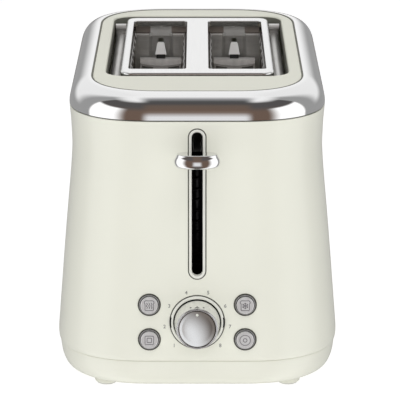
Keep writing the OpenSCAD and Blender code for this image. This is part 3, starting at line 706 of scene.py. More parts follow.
# Painted shade: an olive-grey ring in the groove between the bezel and the top panel.
upper_seal = [level(PANEL_TOP + z, RING_W + d, RING_L + d, 48 + d, **fine) for d, z in
              ((-0.75, -1.2), (-0.75, 0.0), (-0.62, 0.18), (-0.2, 0.28), (0.22, 0.22), (0.42, 0.02),
               (0.42, -1.2))]
piece("panel_seal", loft(upper_seal, loop=True), ROOT, M["soft_seal"], angle=60)

OPEN_W, OPEN_L, OPEN_Y = 60.5, 92.0, 10.85


def edge(a, b, c, y0, steps, *offsets, **more):
    """Rings round one edge of a plate; offsets are (outward, height)."""
    return [level(z, a + d, b + d, max(c + d, 0.4), y0=y0, steps=steps, **more) for d, z in offsets]


top = PANEL_TOP
outer_edge = edge(RING_W - 0.78, RING_L - 0.78, 47.3, 0, 40, (-1.6, top), (-0.6, top),
                  (-0.3, top - 0.06), (-0.08, top - 0.24), (0, top - 0.6), (0, top - 9), (-2, top - 9),
                  (-2, top - 2.2), (-3, top - 2.2))
inner_edge = edge(OPEN_W, OPEN_L, 16, OPEN_Y, 20, (2.4, top), (1.5, top), (0.9, top - 0.08),
                  (0.35, top - 0.4), (0.08, top - 0.95), (0, top - 1.7), (0, top - 8), (1.6, top - 8),
                  (1.6, top - 2.2), (3.4, top - 2.2))
piece("top_panel_ring", slab(outer_edge, [inner_edge]), ROOT, M["cream_trim"],
      ["top_panel"])
# Painted shade: an olive-grey sheet over the opening's inner wall.
painted_shade_sheet = edge(OPEN_W, OPEN_L, 16, OPEN_Y, 20, (-0.04, top - 1.3), (-0.34, top - 1.15), (-0.5, top - 1.5),
             (-0.5, top - 7.8), (-0.04, top - 7.8))
piece("opening_painted_shade", loft(painted_shade_sheet, loop=True), ROOT, M["soft_seal"], angle=60)

PLATE_W = (PLATE[1][0] - PLATE[0][0]) / 2
PLATE_L = (PLATE[1][1] - PLATE[0][1]) / 2
top = PLATE[1][2]
plate_edge = edge(PLATE_W, PLATE_L, 9, PLATE_Y, 16, (-2.6, top), (-1.9, top), (-1.15, top - 0.1),
                  (-0.5, top - 0.42), (-0.12, top - 0.95), (0, top - 1.7), (0, top - 8.7),
                  (-0.2, top - 9.2), (-0.6, top - 9.2), (-0.8, top - 8.7), (-0.8, top - 0.8),
                  (-2.2, top - 0.8))
slot_edges = []
for side in (-1, 1):
    rings = edge(SLOT_W / 2, SLOT_L / 2, 3, SLOTS_Y, 10, (0.9, top), (0.5, top), (0.26, top - 0.03),
                 (0.1, top - 0.12), (0.02, top - 0.28), (0, top - 0.5), (0, top - 3.9),
                 (0.25, top - 4.2), (0.55, top - 4.2), (0.8, top - 3.9), (0.8, top - 0.8),
                 (1.5, top - 0.8))
    slot_edges.append([[(x + side * SLOT_X, y, z) for x, y, z in ring] for ring in rings])
piece("bread_slot_plate", slab(plate_edge, slot_edges), ROOT, M["polished_steel"],
      ["slot_plate"])


# Lever slot trim and lever

def face_y(z):
    return -HALF_L - flare(z)


def round_slot(section):
    """Band round the lever slot, from (outward, height) pairs."""
    return loft([[(x, face_y(z) - h, z)
                  for x, z in stadium(TRIM_R - TRIM_BAND + d, TRIM_HALF, TRIM_ZC)]
                 for d, h in section], loop=True)


trim_section = [(0.25, -3.3), (0.0, -3.0), (0, 0.25), (0.12, 0.62), (0.45, 0.78), (1.05, 0.8),
                (1.38, 0.78), (1.64, 0.6), (1.74, 0.2), (1.74, -3.0), (1.6, -3.3)]
piece("lever_slot_ring", round_slot(trim_section), ROOT, M["pale_trim"],
      ["lever_slot_trim"])
# Painted shade: a near-black ring in the gap round the lever slot trim.
shade_ring_section = [(1.76, -1.2), (1.76, 0.12), (2.25, 0.12), (2.45, 0.03), (2.34, -0.1), (2.34, -1.2)]
piece("lever_slot_painted_gap_shade", round_slot(shade_ring_section), ROOT, M["seal"], angle=60)

LEVER = box_mm("lever_knob")
LEVER_Z = (LEVER[0][2] + LEVER[1][2]) / 2
LEVER_A = (LEVER[1][0] - LEVER[0][0]) / 2
LEVER_B = (LEVER[1][1] - LEVER[0][1]) / 2
LEVER_Y = (LEVER[0][1] + LEVER[1][1]) / 2 - YC
LEVER_H = (LEVER[1][2] - LEVER[0][2]) / 2
puck_side = spline([(4.6, -1.0), (3.0, -0.97), (1.5, -0.84), (0.55, -0.6), (0.1, -0.3), (0.0, -0.05),
                    (0.22, 0.25), (0.7, 0.5), (1.35, 0.74), (1.75, 0.9)], 4)
puck_side += [(1.85, 0.95), (2.02, 0.985), (2.3, 1.0), (3.2, 1.0), (4.4, 0.985)]


def oval(a, b, n=112, power=2.2):
    points = []
    for i in range(n):
        c, q = math.cos(math.tau * i / n), math.sin(math.tau * i / n)
        points.append((math.copysign(a * abs(c) ** (2 / power), c),
                       math.copysign(b * abs(q) ** (2 / power), q)))
    return points


puck = [[(x, LEVER_Y + y, LEVER_Z + LEVER_H * h) for x, y in oval(LEVER_A - inset, LEVER_B - inset)]
        for inset, h in puck_side]
piece("lever_grip", loft(puck, start=True, end=True), "carriage", M["lever_chrome"],
      ["lever_knob"])


# Dial

bezel_profile = [(15.5, -3.2), (15.5, 0.9), (15.62, 1.3), (15.9, 1.52), (16.35, 1.57), (16.85, 1.47),
                 (17.2, 1.12), (17.4, 0.6), (17.45, 0.05), (16.5, 0.05), (16.5, -3.2)]
piece("dial_surround", spin(bezel_profile, loop=True, steps=128), ROOT, M["pale_trim"],
      ["dial_bezel"])
# Painted shade: a near-black ring in the gap round the dial surround.
piece("dial_painted_gap_shade", spin([(17.0, 0.01), (18.1, 0.01), (18.05, 0.2), (17.85, 0.32), (17.0, 0.32)],
                          loop=True, steps=128), ROOT, M["seal"])
# Painted shade: the seat under the knob is near-black where it shows in the gap round the knob.
dish_profile = [(4.2, -2.4), (15.3, -2.4), (15.3, -0.4), (14.6, -0.7), (4.2, -0.9)]
piece("dial_seat", spin(dish_profile, loop=True, steps=96), ROOT, M["painted_shade_black"],
      ["dial_dish"])

KNOB_R = 13.4


def arc_block(r0, r1, w0, w1, a0, a1, n=12):
    """A short curved bar of the dial, angles in degrees from the top, clockwise."""
    def at(r, w, a):
        return on_panel(r * math.sin(math.radians(a)), r * math.cos(math.radians(a)), w)
    rings = [[at(r, w, a0 + (a1 - a0) * i / n) for r, w in ((r0, w0), (r1, w0), (r1, w1), (r0, w1))]
             for i in range(n + 1)]
    return loft(rings, start=True, end=True)


# Painted shade: the notches at the dial's sides are near-black blocks.
for side, tag in SIDES:
    piece(f"dial_notch_{tag}", arc_block(16.75, 17.85, 0.3, 1.45, side * 90 - 11, side * 90 + 11), ROOT,
          M["painted_shade_black"], angle=30)

GRIP_RIBS = 150
knob_profile = [(12.0, 2.0), (12.0, 1.5), (14.5, 1.45), (14.75, 1.7), (14.7, 2.6), (14.5, 5.0),
                (14.2, 8.0), (13.92, 11.0), (13.68, 13.8), (13.57, 15.2)]
end_profile = [(13.42, 15.4), (13.1, 15.48), (3.2, 15.48), (3.2, 2.0)]
rim_profile = [(12.3, 16.3), (13.3, 16.3), (13.45, 16.45), (13.42, 16.9), (13.2, 17.4),
               (12.85, 17.66), (12.55, 17.7), (12.28, 17.6), (12.16, 17.3), (12.16, 16.4)]


def ribs(t, r, w):
    return 0.09 * math.cos(GRIP_RIBS * t) if 2.0 < w < 15.8 and r > 13 else 0.0


piece("dial_knob_body", spin(knob_profile + end_profile, loop=True, steps=600, ripple=ribs),
      "dial_knob", M["knob_cream"], ["browning_knob"], angle=60)
piece("dial_knob_rim", spin(rim_profile, loop=True, steps=160), "dial_knob", M["rim_metal"],
      angle=50)
# Painted shade: near-black fillers in the knob's grooves beside its rim.
piece("dial_knob_painted_gap_shade", spin([(11.0, 15.5), (13.1, 15.5), (13.1, 16.28), (12.14, 16.28),
                              (12.14, 17.0), (11.0, 17.0)], loop=True, steps=128),
      "dial_knob", M["seal"], angle=50)
face_profile = [(11.82, 16.3), (11.82, 17.2), (11.7, 17.4), (11.3, 17.45), (9.4, 17.3), (7.0, 17.16),
                (4.0, 17.07), (0.6, 17.04)]
piece("dial_knob_cap", spin(face_profile, steps=128), "dial_knob", M["spun_metal"],
      ["knob_face"])
marker_v = KNOB_R - 4.1
piece("dial_knob_dot", spin([(0.82, 16.8), (0.85, 17.4), (0.72, 17.52), (0.4, 17.58), (0.1, 17.6)],
                            centre=(0, marker_v), steps=32), "dial_knob", M["marker_white"],
      ["knob_marker"])


def knob_side(angle, w):
    """A point just outside the knob's cone, at an angle from the top, clockwise."""
    profile = knob_profile[3:]
    for (r0, w0), (r1, w1) in zip(profile, profile[1:]):
        if w0 <= w:
            r = r0 + (r1 - r0) * (w - w0) / (w1 - w0)
    r += 0.10
    a = math.radians(angle)
    return on_panel(r * math.sin(a), r * math.cos(a), w)


def patch(centre_angle, centre_w, points, name):
    """A small printed mark on the knob's side, from (mm across, mm along) points."""
    ring_low, ring_high = [], []
    for across, along in points:
        p = Vector(knob_side(centre_angle + math.degrees(across / 14), centre_w + along))
        axis = Vector(on_panel(0, 0, centre_w + along))
        out = (p - axis).normalized()
        ring_low.append(tuple(p - 0.12 * out))
        ring_high.append(tuple(p + 0.05 * out))
    piece(name, loft([ring_low, ring_high], start=True, end=True), "dial_knob", M["mark_ink"],
          angle=30)


circle16 = [(0.6 * math.cos(math.tau * i / 16), 0.78 * math.sin(math.tau * i / 16)) for i in range(16)]
patch(-17.6, 13.2, circle16, "knob_dot_left")
patch(17.6, 13.2, circle16, "knob_dot_right")
patch(0, 14.2, [(-1.5, 0.95), (0, -1.3), (1.5, 0.95)], "knob_pointer")

for number in range(1, 9):
    angle = math.radians(-135.5 + (number - 1) * 38.714)
    curve = bpy.data.curves.new(f"scale_{number}", "FONT")
    curve.body = str(number)
    curve.size = 3.3
    curve.offset = 0.07
    curve.align_x, curve.align_y = "CENTER", "CENTER"
    curve.extrude = 0.04
    curve.resolution_u = 4
    holder = bpy.data.objects.new(f"scale_{number}_curve", curve)
    bpy.context.scene.collection.objects.link(holder)
    graph = bpy.context.evaluated_depsgraph_get()
    flat = bpy.data.meshes.new_from_object(holder.evaluated_get(graph))
    bpy.data.objects.remove(holder)
    shape = ([on_panel(21.4 * math.sin(angle) + v.co.x, 21.4 * math.cos(angle) + v.co.y - 0.6,
                       0.03 + v.co.z) for v in flat.vertices],
             [tuple(p.vertices) for p in flat.polygons])
    piece(f"scale_number_{number}", shape, ROOT, M["scale_ink"], angle=30)


# Push buttons

CAP_R = 5.65
CAP_W = 2.75
ring_profile = [(6.05, -4.4), (6.05, 0.35), (6.12, 0.62), (6.28, 0.74), (6.5, 0.72), (6.66, 0.55),
                (6.72, 0.1), (6.5, 0.1), (6.5, -4.4)]
shade_ring_profile = [(6.7, 0.01), (7.5, 0.01), (7.47, 0.3), (7.3, 0.5), (6.95, 0.56), (6.76, 0.42)]
cap_profile = [(1.6, -11.6), (1.6, -6.6), (6.2, -6.6), (6.2, -5.2), (CAP_R, -5.2), (CAP_R, 2.15),
               (CAP_R - 0.05, 2.4), (CAP_R - 0.2, 2.62), (CAP_R - 0.42, 2.74), (CAP_R - 0.62, 2.73),
               (CAP_R - 0.85, 2.66), (2.5, 2.6), (0.3, 2.58)]


def strokes(centre, lines, radius=0.23):
    parts = []
    for line, closed in lines:
        pts = [on_panel(centre[0] + 1.22 * x, centre[1] + 1.22 * y, CAP_W - 0.08) for x, y in line]
        parts.append(tube(pts, radius, sides=8, loop=closed))
    return joined(*parts)


def ring_line(x, y, r, n=24):
    return ([(x + r * math.cos(math.tau * i / n), y + r * math.sin(math.tau * i / n))
             for i in range(n)], True)


def bread_line():
    lobe = [(1.55 + 1.05 * math.cos(math.radians(a)), 1.75 + 1.05 * math.sin(math.radians(a)))
            for a in range(-50, 111, 20)]
    right = [(2.1, -2.6), (2.2, -2.4), (2.2, 0.9)] + lobe
    return right + [(0, 2.7)] + [(-x, y) for x, y in reversed(right)], True


def heat_lines():
    lines = []
    for x in (-1.2, 0, 1.2):
        lines.append(([(x + 0.28 * math.sin(3.4 * (y + 1.5)), y)
                       for y in (-1.6 + 0.2 * i for i in range(17))], False))
    return lines


def snow_lines():
    lines = []
    for k in range(3):
        a = math.radians(90 + 60 * k)
        c, s = math.cos(a), math.sin(a)
        lines.append(([(-1.7 * c, -1.7 * s), (0, 0), (1.7 * c, 1.7 * s)], False))
        for end in (-1, 1):
            for turn in (-1, 1):
                b = a + turn * math.radians(50)
                x, y = end * 1.0 * c, end * 1.0 * s
                lines.append(([(x, y), (x + end * 0.6 * math.cos(b), y + end * 0.6 * math.sin(b))],
                              False))
    return lines


def square_line(half, r):
    points = []
    for sx, sy, start in ((1, 1, 0), (-1, 1, 90), (-1, -1, 180), (1, -1, 270)):
        for i in range(5):
            t = math.radians(start + 90 * i / 4)
            points.append((sx * (half - r) + r * math.cos(t), sy * (half - r) + r * math.sin(t)))
    return points, True


bagel = [ring_line(0, 0, 2.8, 32), ring_line(0, 0, 1.0, 20)]
SYMBOLS = {
    "reheat": (-1, 1, [bread_line()] + heat_lines()),
    "defrost": (1, 1, [bread_line()] + [([(x, y - 0.1) for x, y in line], closed)
                                       for line, closed in snow_lines()]),
    "stop": (-1, -1, [square_line(2.3, 0.5), square_line(1.2, 0.25)]),
    "bagel": (1, -1, bagel),
}
# Each button gets a near-black ring in the gap round its bezel and a black well round its cap: painted shade.
for index, (kind, (sx, sv, lines)) in enumerate(SYMBOLS.items()):
    centre = (sx * BUTTON_X, sv * BUTTON_V)
    piece(f"button_ring_{kind}", spin(ring_profile, centre=centre, loop=True, steps=72), ROOT,
          M["satin_silver"], ["button_bezels"] if index == 0 else [])
    piece(f"button_painted_gap_shade_{kind}", spin(shade_ring_profile, centre=centre, loop=True, steps=64), ROOT,
          M["seal"])
    piece(f"button_well_{kind}", spin([(5.55, -2.0), (6.03, -2.0), (6.03, 0.2), (5.55, 0.2)],
                                      centre=centre, loop=True, steps=48), ROOT, M["painted_shade_black"])
    piece(f"button_cap_{kind}", spin(cap_profile, centre=centre, steps=64), f"{kind}_button",
          M["cap_silver"], [f"button_{kind}"])
    piece(f"button_symbol_{kind}", strokes(centre, lines), f"{kind}_button", M["symbol_ink"])


# Cord bushing

gland_profile = [(3.6, -8.9), (5.9, -8.9), (5.9, -6), (7, -6), (7, -4), (5.9, -4), (5.9, 0.05),
                 (7.6, 0.05), (7.6, 0.45), (7.35, 0.8), (6.9, 0.92), (5.3, 0.92), (4.95, 0.8),
                 (4.55, -0.2), (3.65, -3.4)]
piece("cord_bushing", spin(gland_profile, place=on_rear, loop=True, steps=64), ROOT,
      M["pale_trim"], ["cord_gland"])


# Toasting cage

SLIT = 1.8
RACK_Z = box_mm("bread_rack_left")[0][2] + ARM_DROP
SLIT_LOW = RACK_Z - ARM_DROP - TRAVEL - 1.5
SLIT_HIGH = RACK_Z + LIFT + 2.5
CAGE_Z = 26.05


def grid_faces(rows, columns, in_hole=lambda r, i: False):
    """Quads of a grid of points, row by row, less the cells in a hole."""
    n = columns
    return [(r * n + i, r * n + i + 1, (r + 1) * n + i + 1, (r + 1) * n + i)
            for r in range(rows - 1) for i in range(n - 1) if not in_hole(r, i)]


def sheet_grid(xs, rows, skip, thickness, name):
    """Sheet metal: rows of (y, z) per x, solidified, with skipped cells as cut-outs."""
    verts = [(x, *rows[r](x)) for r in range(len(rows)) for x in xs]

    def in_hole(r, i):
        x = (xs[i] + xs[i + 1]) / 2
        return skip(x, (rows[r](x)[1] + rows[r + 1](x)[1]) / 2)

    return solid_sheet(name, (verts, grid_faces(len(rows), len(xs), in_hole)), thickness)


def solid_sheet(name, shape, thickness, angle=38):
    """Thickens an open sheet equally to both sides into a closed mesh."""
    mesh = mesh_of(name + "_sheet", shape, angle, flip=False)
    obj = bpy.data.objects.new(name + "_sheet", mesh)
    bpy.context.scene.collection.objects.link(obj)
    thick = obj.modifiers.new("thick", "SOLIDIFY")
    thick.thickness = thickness / 1000
    thick.offset = 0
    graph = bpy.context.evaluated_depsgraph_get()
    out = bpy.data.meshes.new_from_object(obj.evaluated_get(graph))
    bpy.data.objects.remove(obj)
    out.name = name
    out.polygons.foreach_set("use_smooth", [True] * len(out.polygons))
    out.set_sharp_from_angle(angle=math.radians(angle))
    return out


def channel(x):
    """Depth of the upright channel behind each slot's middle, 0 to 4 mm."""
    d = abs(abs(x) - SLOT_X)
    if d >= 9.5:
        return 0.0
    if d <= 6.0:
        return 3.6 + 0.4 * (1 - d / 6.0)
    return 3.6 * 0.5 * (1 + math.cos(math.pi * (d - 6.0) / 3.5))


def end_plate(name, node, y0, out):
    xs = sorted(set([-57 + 114 * i / 38 for i in range(39)]
                    + [s * SLOT_X + d for s in (-1, 1) for d in
                       (-9.5, -9, -8.4, -7.7, -7, -6.4, -6, -4, -SLIT, -0.9, 0, 0.9, SLIT, 4, 6, 6.4, 7,
                        7.7, 8.4, 9, 9.5)]))
    zs = [CAGE_Z, 45, 62, SLIT_LOW, 96, 112, 128, 144, 160, 172, SLIT_HIGH, LEDGE_Z - 2.0]
    rows = [(lambda x, z=z: (y0 + out * channel(x), z)) for z in zs]
    fold = [(0.0, -1.0), (0.12, -0.5), (0.4, -0.12), (1.0, 0.0), (2.2, 0.0), (3.1, 0.12),
            (3.6, 0.45), (3.85, 0.9), (4.0, 1.6), (4.0, 8.2)]
    rows += [(lambda x, d=d, h=h: (y0 + out * max(channel(x), d), LEDGE_Z + h)) for d, h in fold]

    def skip(x, z):
        in_slit = abs(abs(x) - SLOT_X) < SLIT and SLIT_LOW < z < SLIT_HIGH
        return in_slit or (abs(x) > 45 and z > LEDGE_Z + 0.1)

    mesh = sheet_grid(xs, rows, skip, 0.8, name)
    obj = piece(name, mesh, ROOT, M["plain_steel"], [node])
    obj.data.materials.append(M["ledge_steel"])
    obj.data.materials.append(M["tinted_steel"])
    obj.data.materials.append(M["channel_steel"])
    # The upper channel faces take the lighter channel steel (painted light), the ledge tops the lighter ledge
    # steel (painted highlight), and the plate above the ledges the darker brown-grey steel.
    for face in obj.data.polygons:
        x, z = 1000 * face.center.x, 1000 * face.center.z
        if abs(abs(x) - SLOT_X) < 8.0:
            face.material_index = 3 if z > LEDGE_Z - 2 else 0
        elif z > LEDGE_Z + 0.2:
            face.material_index = 2
        elif z > LEDGE_Z - 0.1:
            face.material_index = 1


end_plate("cage_plate_front", "front_end_plate", CAGE_Y0 - 0.4, -1)
end_plate("cage_plate_rear", "rear_end_plate", CAGE_Y1 + 0.4, 1)

for side, tag in SIDES:
    low, high = box_mm(f"side_shield_{tag}")
    y0, y1 = low[1] - YC, high[1] - YC
    roll = [(side * 54.0, low[2]), (side * 54.0, low[2] + 60), (side * 54.0, PANEL_TOP - 22),
            (side * 53.7, PANEL_TOP - 20)]
    roll += [(side * (55 - 3.8 * math.cos(math.radians(a))), PANEL_TOP - 14 + 3.8 * math.sin(math.radians(a)))
             for a in range(-70, 215, 12)]
    ys = [y0 + (y1 - y0) * i / 14 for i in range(15)]
    verts = [(x, y, z) for y in ys for x, z in roll]
    faces = grid_faces(len(ys), len(roll))
    piece(f"side_heat_shield_{tag}", solid_sheet(f"side_heat_shield_{tag}", (verts, faces), 0.8, 50),
          ROOT, M["plain_steel"], [f"side_shield_{tag}"])

for side, tag in SIDES:
    x0, x1 = sorted((side * 52.2, side * 59.0))
    bar = tube([(x0 - 0.4, CAGE_Y1 + 1.4, LEDGE_Z + 5.0), (x1 + 0.4, CAGE_Y1 + 1.4, LEDGE_Z + 5.0)], 2.4, 16)
    web = block(x0, x1, CAGE_Y1 + 0.9, CAGE_Y1 + 1.9, LEDGE_Z - 3.5, LEDGE_Z + 4.6, 0.25)
    piece(f"cage_brace_{tag}", joined(bar, web), ROOT, M["rack_steel"])

for name in ("left_outer", "left_inner", "right_inner", "right_outer"):
    low, high = box_mm(f"guard_{name}")
    x0 = (low[0] + high[0]) / 2
    y0, y1 = low[1] - YC, high[1] - YC
    z0, z1 = low[2] + 1.1, high[2] - 1.1
    sy0, sy1 = SLOTS_Y - SLOT_L / 2 + 1, SLOTS_Y + SLOT_L / 2 - 1
    count = 8
    bars = [sy0 + 3 + i * (sy1 - sy0 - 6) / (count - 1) for i in range(count)]
    parts = [tube([(x0, y0, z0), (x0, (y0 + y1) / 2, z0), (x0, y1, z0)], 1.05, 10)]
    steps = 128
    pitch = (sy1 - sy0 - 6) / (count - 1)
    toward = -1 if name in ("left_inner", "right_outer") else 1
    top_wire = [(x0 + toward * (0.5 - 0.9 * abs(((y - bars[0]) / pitch) % 1.0 - 0.5)), y, z1)
                for y in (sy0 + (sy1 - sy0) * i / steps for i in range(steps + 1))]
    parts.append(tube(top_wire, 0.55, 8))
    for y in bars:
        wire = [(x0, y, z0 + (z1 - 9 - z0) * i / 8) for i in range(9)]
        wire += [(x0 + toward * dx, y + dy, z1 + dz) for dx, dy, dz in
                 ((0.1, 0, -7.5), (0.7, 0.2, -5.6), (1.25, 0.5, -3.6), (1.1, 0.9, -1.8),
                  (0.5, 1.2, -0.6), (0.0, 1.3, 0.1))]
        parts.append(tube(wire, 0.6, 8))
    piece(f"bread_guard_{name}", joined(*parts), f"{name}_guard", M["guard_wire"],
          [f"guard_{name}"])

for side, tag in SIDES:
    low, high = box_mm(f"bread_rack_{tag}")
    y0, y1 = SLOTS_Y - SLOT_L / 2 - 1.8, SLOTS_Y + SLOT_L / 2 + 1
    arm0, arm1 = low[1] - YC, high[1] - YC
    xc = side * SLOT_X
    xs = [-15, -14.5, -13.4, -11, -8.5, -5.4, -3.6, -1.8, 0, 1.8, 3.6, 5.4, 8.5, 11, 13.4, 14.5, 15]
    cells = [y1 - 15 - 19 - 24 * k for k in range(5)]
    step = [y1 - 9.0, y1 - 8.2, y1 - 7.9, y1 - 7.6, y1 - 7.3, y1 - 6.6, y1 - 4, y1 - 1.5, y1 - 0.6]
    ys = sorted([y0, y0 + 3] + [c for cell in cells for c in (cell, cell + 19)] + step)

    def rack_height(x, y):
        raised = min(max((y - (y1 - 8.2)) / 0.9, 0.0), 1.0)
        trough = 1.7 * (1 - (abs(x) / 15) ** 2) * (1 - raised)
        return RACK_Z - 0.5 - 2.4 * (1 - raised) - trough

    verts = [(xc + x, y, rack_height(x, y)) for y in ys for x in xs]

    def in_window(r, i):
        x, y = (xs[i] + xs[i + 1]) / 2, (ys[r] + ys[r + 1]) / 2
        return any(cell < y < cell + 19 for cell in cells) and 5.4 < abs(x) < 13.4

    faces = grid_faces(len(ys), len(xs), in_window)
    rack = piece(f"rack_{tag}", solid_sheet(f"rack_{tag}", (verts, faces), 0.9), "carriage",
                 M["rack_steel"], [f"bread_rack_{tag}"])
    # Painted shadow: the rack's faces in front of its raised rear end take the darker copy of its steel.
    rack.data.materials.append(M["shadow_steel"])
    for face in rack.data.polygons:
        if 1000 * face.center.y - YC < y1 - 9.2:
            face.material_index = 1
    arm = block(xc - 0.75, xc + 0.75, arm0, arm1, RACK_Z - ARM_DROP, RACK_Z - 4.6, 0.25)
    piece(f"rack_arm_{tag}", arm, "carriage", M["plain_steel"])
    tab = []
    for k in range(9):
        t = k / 8
        half = 4.1 - 1.7 * t
        z = RACK_Z + 2.8 + 8.6 * t
        lean_back = -2.9 + 2.9 * t
        corner = 0.55 if k == 8 else 0.0
        tab.append([(xc + sx * (half - corner), y1 - 0.6 - sd * 0.45 + lean_back, z)
                    for sx, sd in ((-1, 1), (-0.4, 1), (0.4, 1), (1, 1), (1, -1), (0.4, -1),
                                   (-0.4, -1), (-1, -1))])
    # Painted shade: a dark steel block at the tab's foot, where shade falls between the tab and the rack.
    foot = block(xc - 3.2, xc + 3.2, y1 - 4.2, y1 - 2.9, RACK_Z - 0.6, RACK_Z + 3.0, 0.2)
    piece(f"rack_tab_{tag}", loft(tab, start=True, end=True), "carriage", M["tab_steel"],
          angle=50)
    piece(f"rack_tab_foot_{tag}", foot, "carriage", M["dark_steel"])

# Return spring, a fixed coil on the body; the carriage does not squeeze it here
low, high = box_mm("return_spring")
spring_low, spring_high = low[2] + 0.75, high[2] - 0.75
rod_y = (low[1] + high[1]) / 2 - YC
coil = []
total = 16 * 24
for i in range(total + 1):
    a = math.tau * i / 24
    coil.append((5.4 * math.cos(a), rod_y + 5.4 * math.sin(a),
                 spring_low + (spring_high - spring_low) * i / total))
spring = piece("carriage_spring", tube(coil, 0.7, 8), ROOT, M["dark_steel"],
               ["return_spring"])
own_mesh(spring)

# The CAD nodes that are shown as they are
KEPT = {
    "black_plastic": ["front_carrier", "board_switches", "power_parts", "board_parts"],
    "plain_steel": ["chassis_pan", "mechanism_frame", "carriage_bracket", "latch_plate",
                    "magnet_core", "crumb_tray", "base_screws", "board_screws", "dial_encoder"],
    "dark_steel": ["guide_rod", "lever_stem", "knob_shaft"],
    "mica": ["heater_board_left", "heater_board_centre", "heater_board_right"],
    "heating_alloy": ["heater_ribbon_left", "heater_ribbon_centre", "heater_ribbon_right"],
    "copper_coil": ["magnet_coil"],
    "board_green": ["control_board"],
    "board_brown": ["power_board"],
    "white_plastic": ["main_contacts", "carriage_bushing", "contact_foot"],
}
for key, names in KEPT.items():
    for name in names:
        obj = NODES[name]
        if not obj.material_slots:
            obj.data.materials.append(M[key])
        for holder in obj.material_slots:
            holder.material = M[key]


# Floor, lights, world and camera

def flat_quad(name, points, mat):
    mesh = bpy.data.meshes.new(name)
    mesh.from_pydata(points, [], [(0, 1, 2, 3)])
    mesh.materials.append(mat)
    obj = bpy.data.objects.new(name, mesh)
    bpy.context.scene.collection.objects.link(obj)
    return obj


floor_mat = material("studio_floor", (0.50, 0.50, 0.50), 0.8, spread=0.005, scale=2, grain=60,
                     bump=0.0, ior=1.3)
glow = own_nodes(floor_mat)[2]
glow.inputs["Emission Color"].default_value = (1, 1, 1, 1)
glow.inputs["Emission Strength"].default_value = 0.72
floor = flat_quad("studio_floor", [(-4, -4, 0), (4, -4, 0), (4, 4, 0), (-4, 4, 0)], floor_mat)
floor.visible_glossy = False


def area(name, place, target, size, power, glossy=False):
    light = bpy.data.lights.new(name, "AREA")
    light.shape = "RECTANGLE"
    light.size, light.size_y = size
    light.energy = power
    obj = bpy.data.objects.new(name, light)
    obj.location = place
    obj.rotation_euler = (Vector(target) - Vector(place)).to_track_quat("-Z", "Y").to_euler()
    obj.visible_glossy = glossy
    obj.visible_camera = False
    bpy.context.scene.collection.objects.link(obj)
    return obj


area("key_above", (0.0, -0.4, 1.6), (0, 0, 0.1), (1.5, 1.5), 12.5)
area("fill_front", (-0.2, -1.8, 0.7), (0, 0, 0.1), (1.5, 1.2), 7.0)
area("side_left", (-1.4, -0.5, 0.6), (0, -0.05, 0.1), (0.8, 1.2), 0.3)
area("side_right", (1.4, -0.5, 0.6), (0, -0.05, 0.1), (0.8, 1.2), 0.9)

world = bpy.data.worlds.new("studio")
bpy.context.scene.world = world
world.use_nodes = True
wn, wl = world.node_tree.nodes, world.node_tree.links
wn.clear()


def math_node(operation, a, b=None, clamp=False):
    node = wn.new("ShaderNodeMath")
    node.operation = operation
    node.use_clamp = clamp
    for socket, value in zip(node.inputs, (a, b)):
        if value is None:
            continue
        if isinstance(value, (int, float)):
            socket.default_value = value
        else:
            wl.new(value, socket)
    return node.outputs[0]


def smooth(value, low, high):
    node = wn.new("ShaderNodeMapRange")
    node.interpolation_type = "SMOOTHSTEP"
    node.inputs["From Min"].default_value = low
    node.inputs["From Max"].default_value = high
    wl.new(value, node.inputs["Value"])
    return node.outputs[0]


def fall(value, low, high):
    return math_node("SUBTRACT", 1.0, smooth(value, low, high))


def mix_color(factor, a, b):
    node = wn.new("ShaderNodeMixRGB")
    for socket, value in zip(node.inputs, (factor, a, b)):
        if isinstance(value, tuple):
            socket.default_value = (*value, 1)
        elif isinstance(value, (int, float)):
            socket.default_value = value
        else:
            wl.new(value, socket)
    return node.outputs[0]


direction = wn.new("ShaderNodeTexCoord").outputs["Generated"]
split = wn.new("ShaderNodeSeparateXYZ")
wl.new(direction, split.inputs[0])
dx, dy, dz = split.outputs
front = math_node("MULTIPLY", dy, -1.0)
pitch = math_node("ARCTAN2", dz, front)


def stop(angle):
    return (angle + 90) / 270


ramp = wn.new("ShaderNodeValToRGB")
wl.new(math_node("DIVIDE", math_node("ADD", pitch, math.radians(90)), math.radians(270)),
       ramp.inputs["Fac"])
BROWN = (0.164, 0.113, 0.088)
BANDS = [(-90, (0.10, 0.085, 0.08)), (-50, (0.11, 0.09, 0.08)), (-30, (0.84, 0.84, 0.85)),
         (0, (0.84, 0.84, 0.85)), (11, (0.50, 0.46, 0.45)), (20, (0.22, 0.17, 0.14)), (30, BROWN),
         (50, (0.145, 0.11, 0.09)), (62, (0.085, 0.08, 0.08)), (74, (0.095, 0.095, 0.095)),
         (88, (0.34, 0.34, 0.35)), (103, (0.98, 0.98, 0.98)), (180, (1.0, 1.0, 1.0))]
elements = ramp.color_ramp.elements
elements[0].position, elements[0].color = stop(BANDS[0][0]), (*BANDS[0][1], 1)
elements[1].position, elements[1].color = stop(BANDS[-1][0]), (*BANDS[-1][1], 1)
for angle, color in BANDS[1:-1]:
    element = elements.new(stop(angle))
    element.color = (*color, 1)

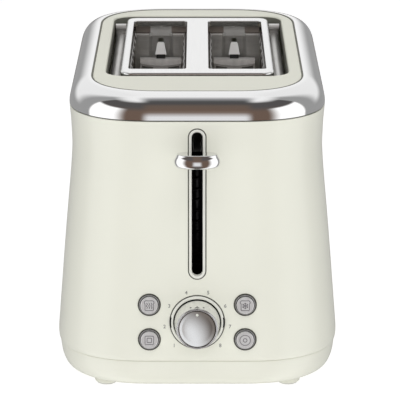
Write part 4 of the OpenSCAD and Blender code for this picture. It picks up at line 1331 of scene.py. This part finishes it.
azimuth = math_node("ARCTAN2", math_node("ABSOLUTE", dx), front)
corner = mix_color(smooth(dz, 0.35, 0.78), BROWN, (0.095, 0.09, 0.09))
surround = mix_color(smooth(azimuth, math.radians(86), math.radians(93)), corner, (0.355, 0.355, 0.355))
behind = math_node("MULTIPLY", smooth(azimuth, math.radians(112), math.radians(138)),
                   smooth(dz, 0.0, 0.25))
surround = mix_color(behind, surround, (0.92, 0.92, 0.92))
surround = mix_color(smooth(dz, 0.89, 0.98), surround, (1.0, 1.0, 1.0))
surround = mix_color(smooth(math_node("ABSOLUTE", dx), 0.05, 0.19), ramp.outputs["Color"], surround)
box_edge = math_node("SUBTRACT", dz, math_node("MULTIPLY", azimuth, 0.103))
in_box = math_node("MULTIPLY", smooth(azimuth, math.radians(25), math.radians(46)),
                   fall(azimuth, math.radians(87), math.radians(93)))
in_box = math_node("MULTIPLY", in_box,
                   fall(box_edge, 0.48, 0.57))
reflected = mix_color(in_box, surround, (1.25, 1.25, 1.25))



def background(color, strength):
    node = wn.new("ShaderNodeBackground")
    if isinstance(color, tuple):
        node.inputs["Color"].default_value = (*color, 1)
    else:
        wl.new(color, node.inputs["Color"])
    node.inputs["Strength"].default_value = strength
    return node.outputs[0]


def mix_shader(factor, a, b):
    node = wn.new("ShaderNodeMixShader")
    for socket, value in zip(node.inputs, (factor, a, b)):
        wl.new(value, socket)
    return node.outputs[0]


# Glossy rays see the studio picture, soft rays an even light, and the camera plain white
rays = wn.new("ShaderNodeLightPath")
soft_color = mix_color(smooth(dz, -0.2, 1.0), (0.78, 0.78, 0.78), (0.95, 0.95, 0.95))
beside = math_node("MULTIPLY", smooth(azimuth, math.radians(40), math.radians(75)),
                   fall(dz, 0.3, 0.7))
soft_color = mix_color(beside, soft_color, (0.16, 0.16, 0.16))
lit = mix_shader(rays.outputs["Is Glossy Ray"], background(soft_color, 0.5), background(reflected, 1.0))
seen = mix_shader(rays.outputs["Is Camera Ray"], lit, background((1.0, 1.0, 1.0), 1.05))
wl.new(seen, wn.new("ShaderNodeOutputWorld").inputs[0])

camera = bpy.data.cameras.new("camera")
camera.lens = 206.06
camera.sensor_width = 36
camera.clip_start, camera.clip_end = 0.05, 50
eye = bpy.data.objects.new("camera", camera)
eye.location = (0.0018, (YC - 1543.4) / 1000, 0.5596)
eye.rotation_euler = (math.radians(90) - EYE_PITCH, 0, 0)
bpy.context.scene.collection.objects.link(eye)
bpy.context.scene.camera = eye
bpy.context.scene.view_settings.view_transform = "Standard"
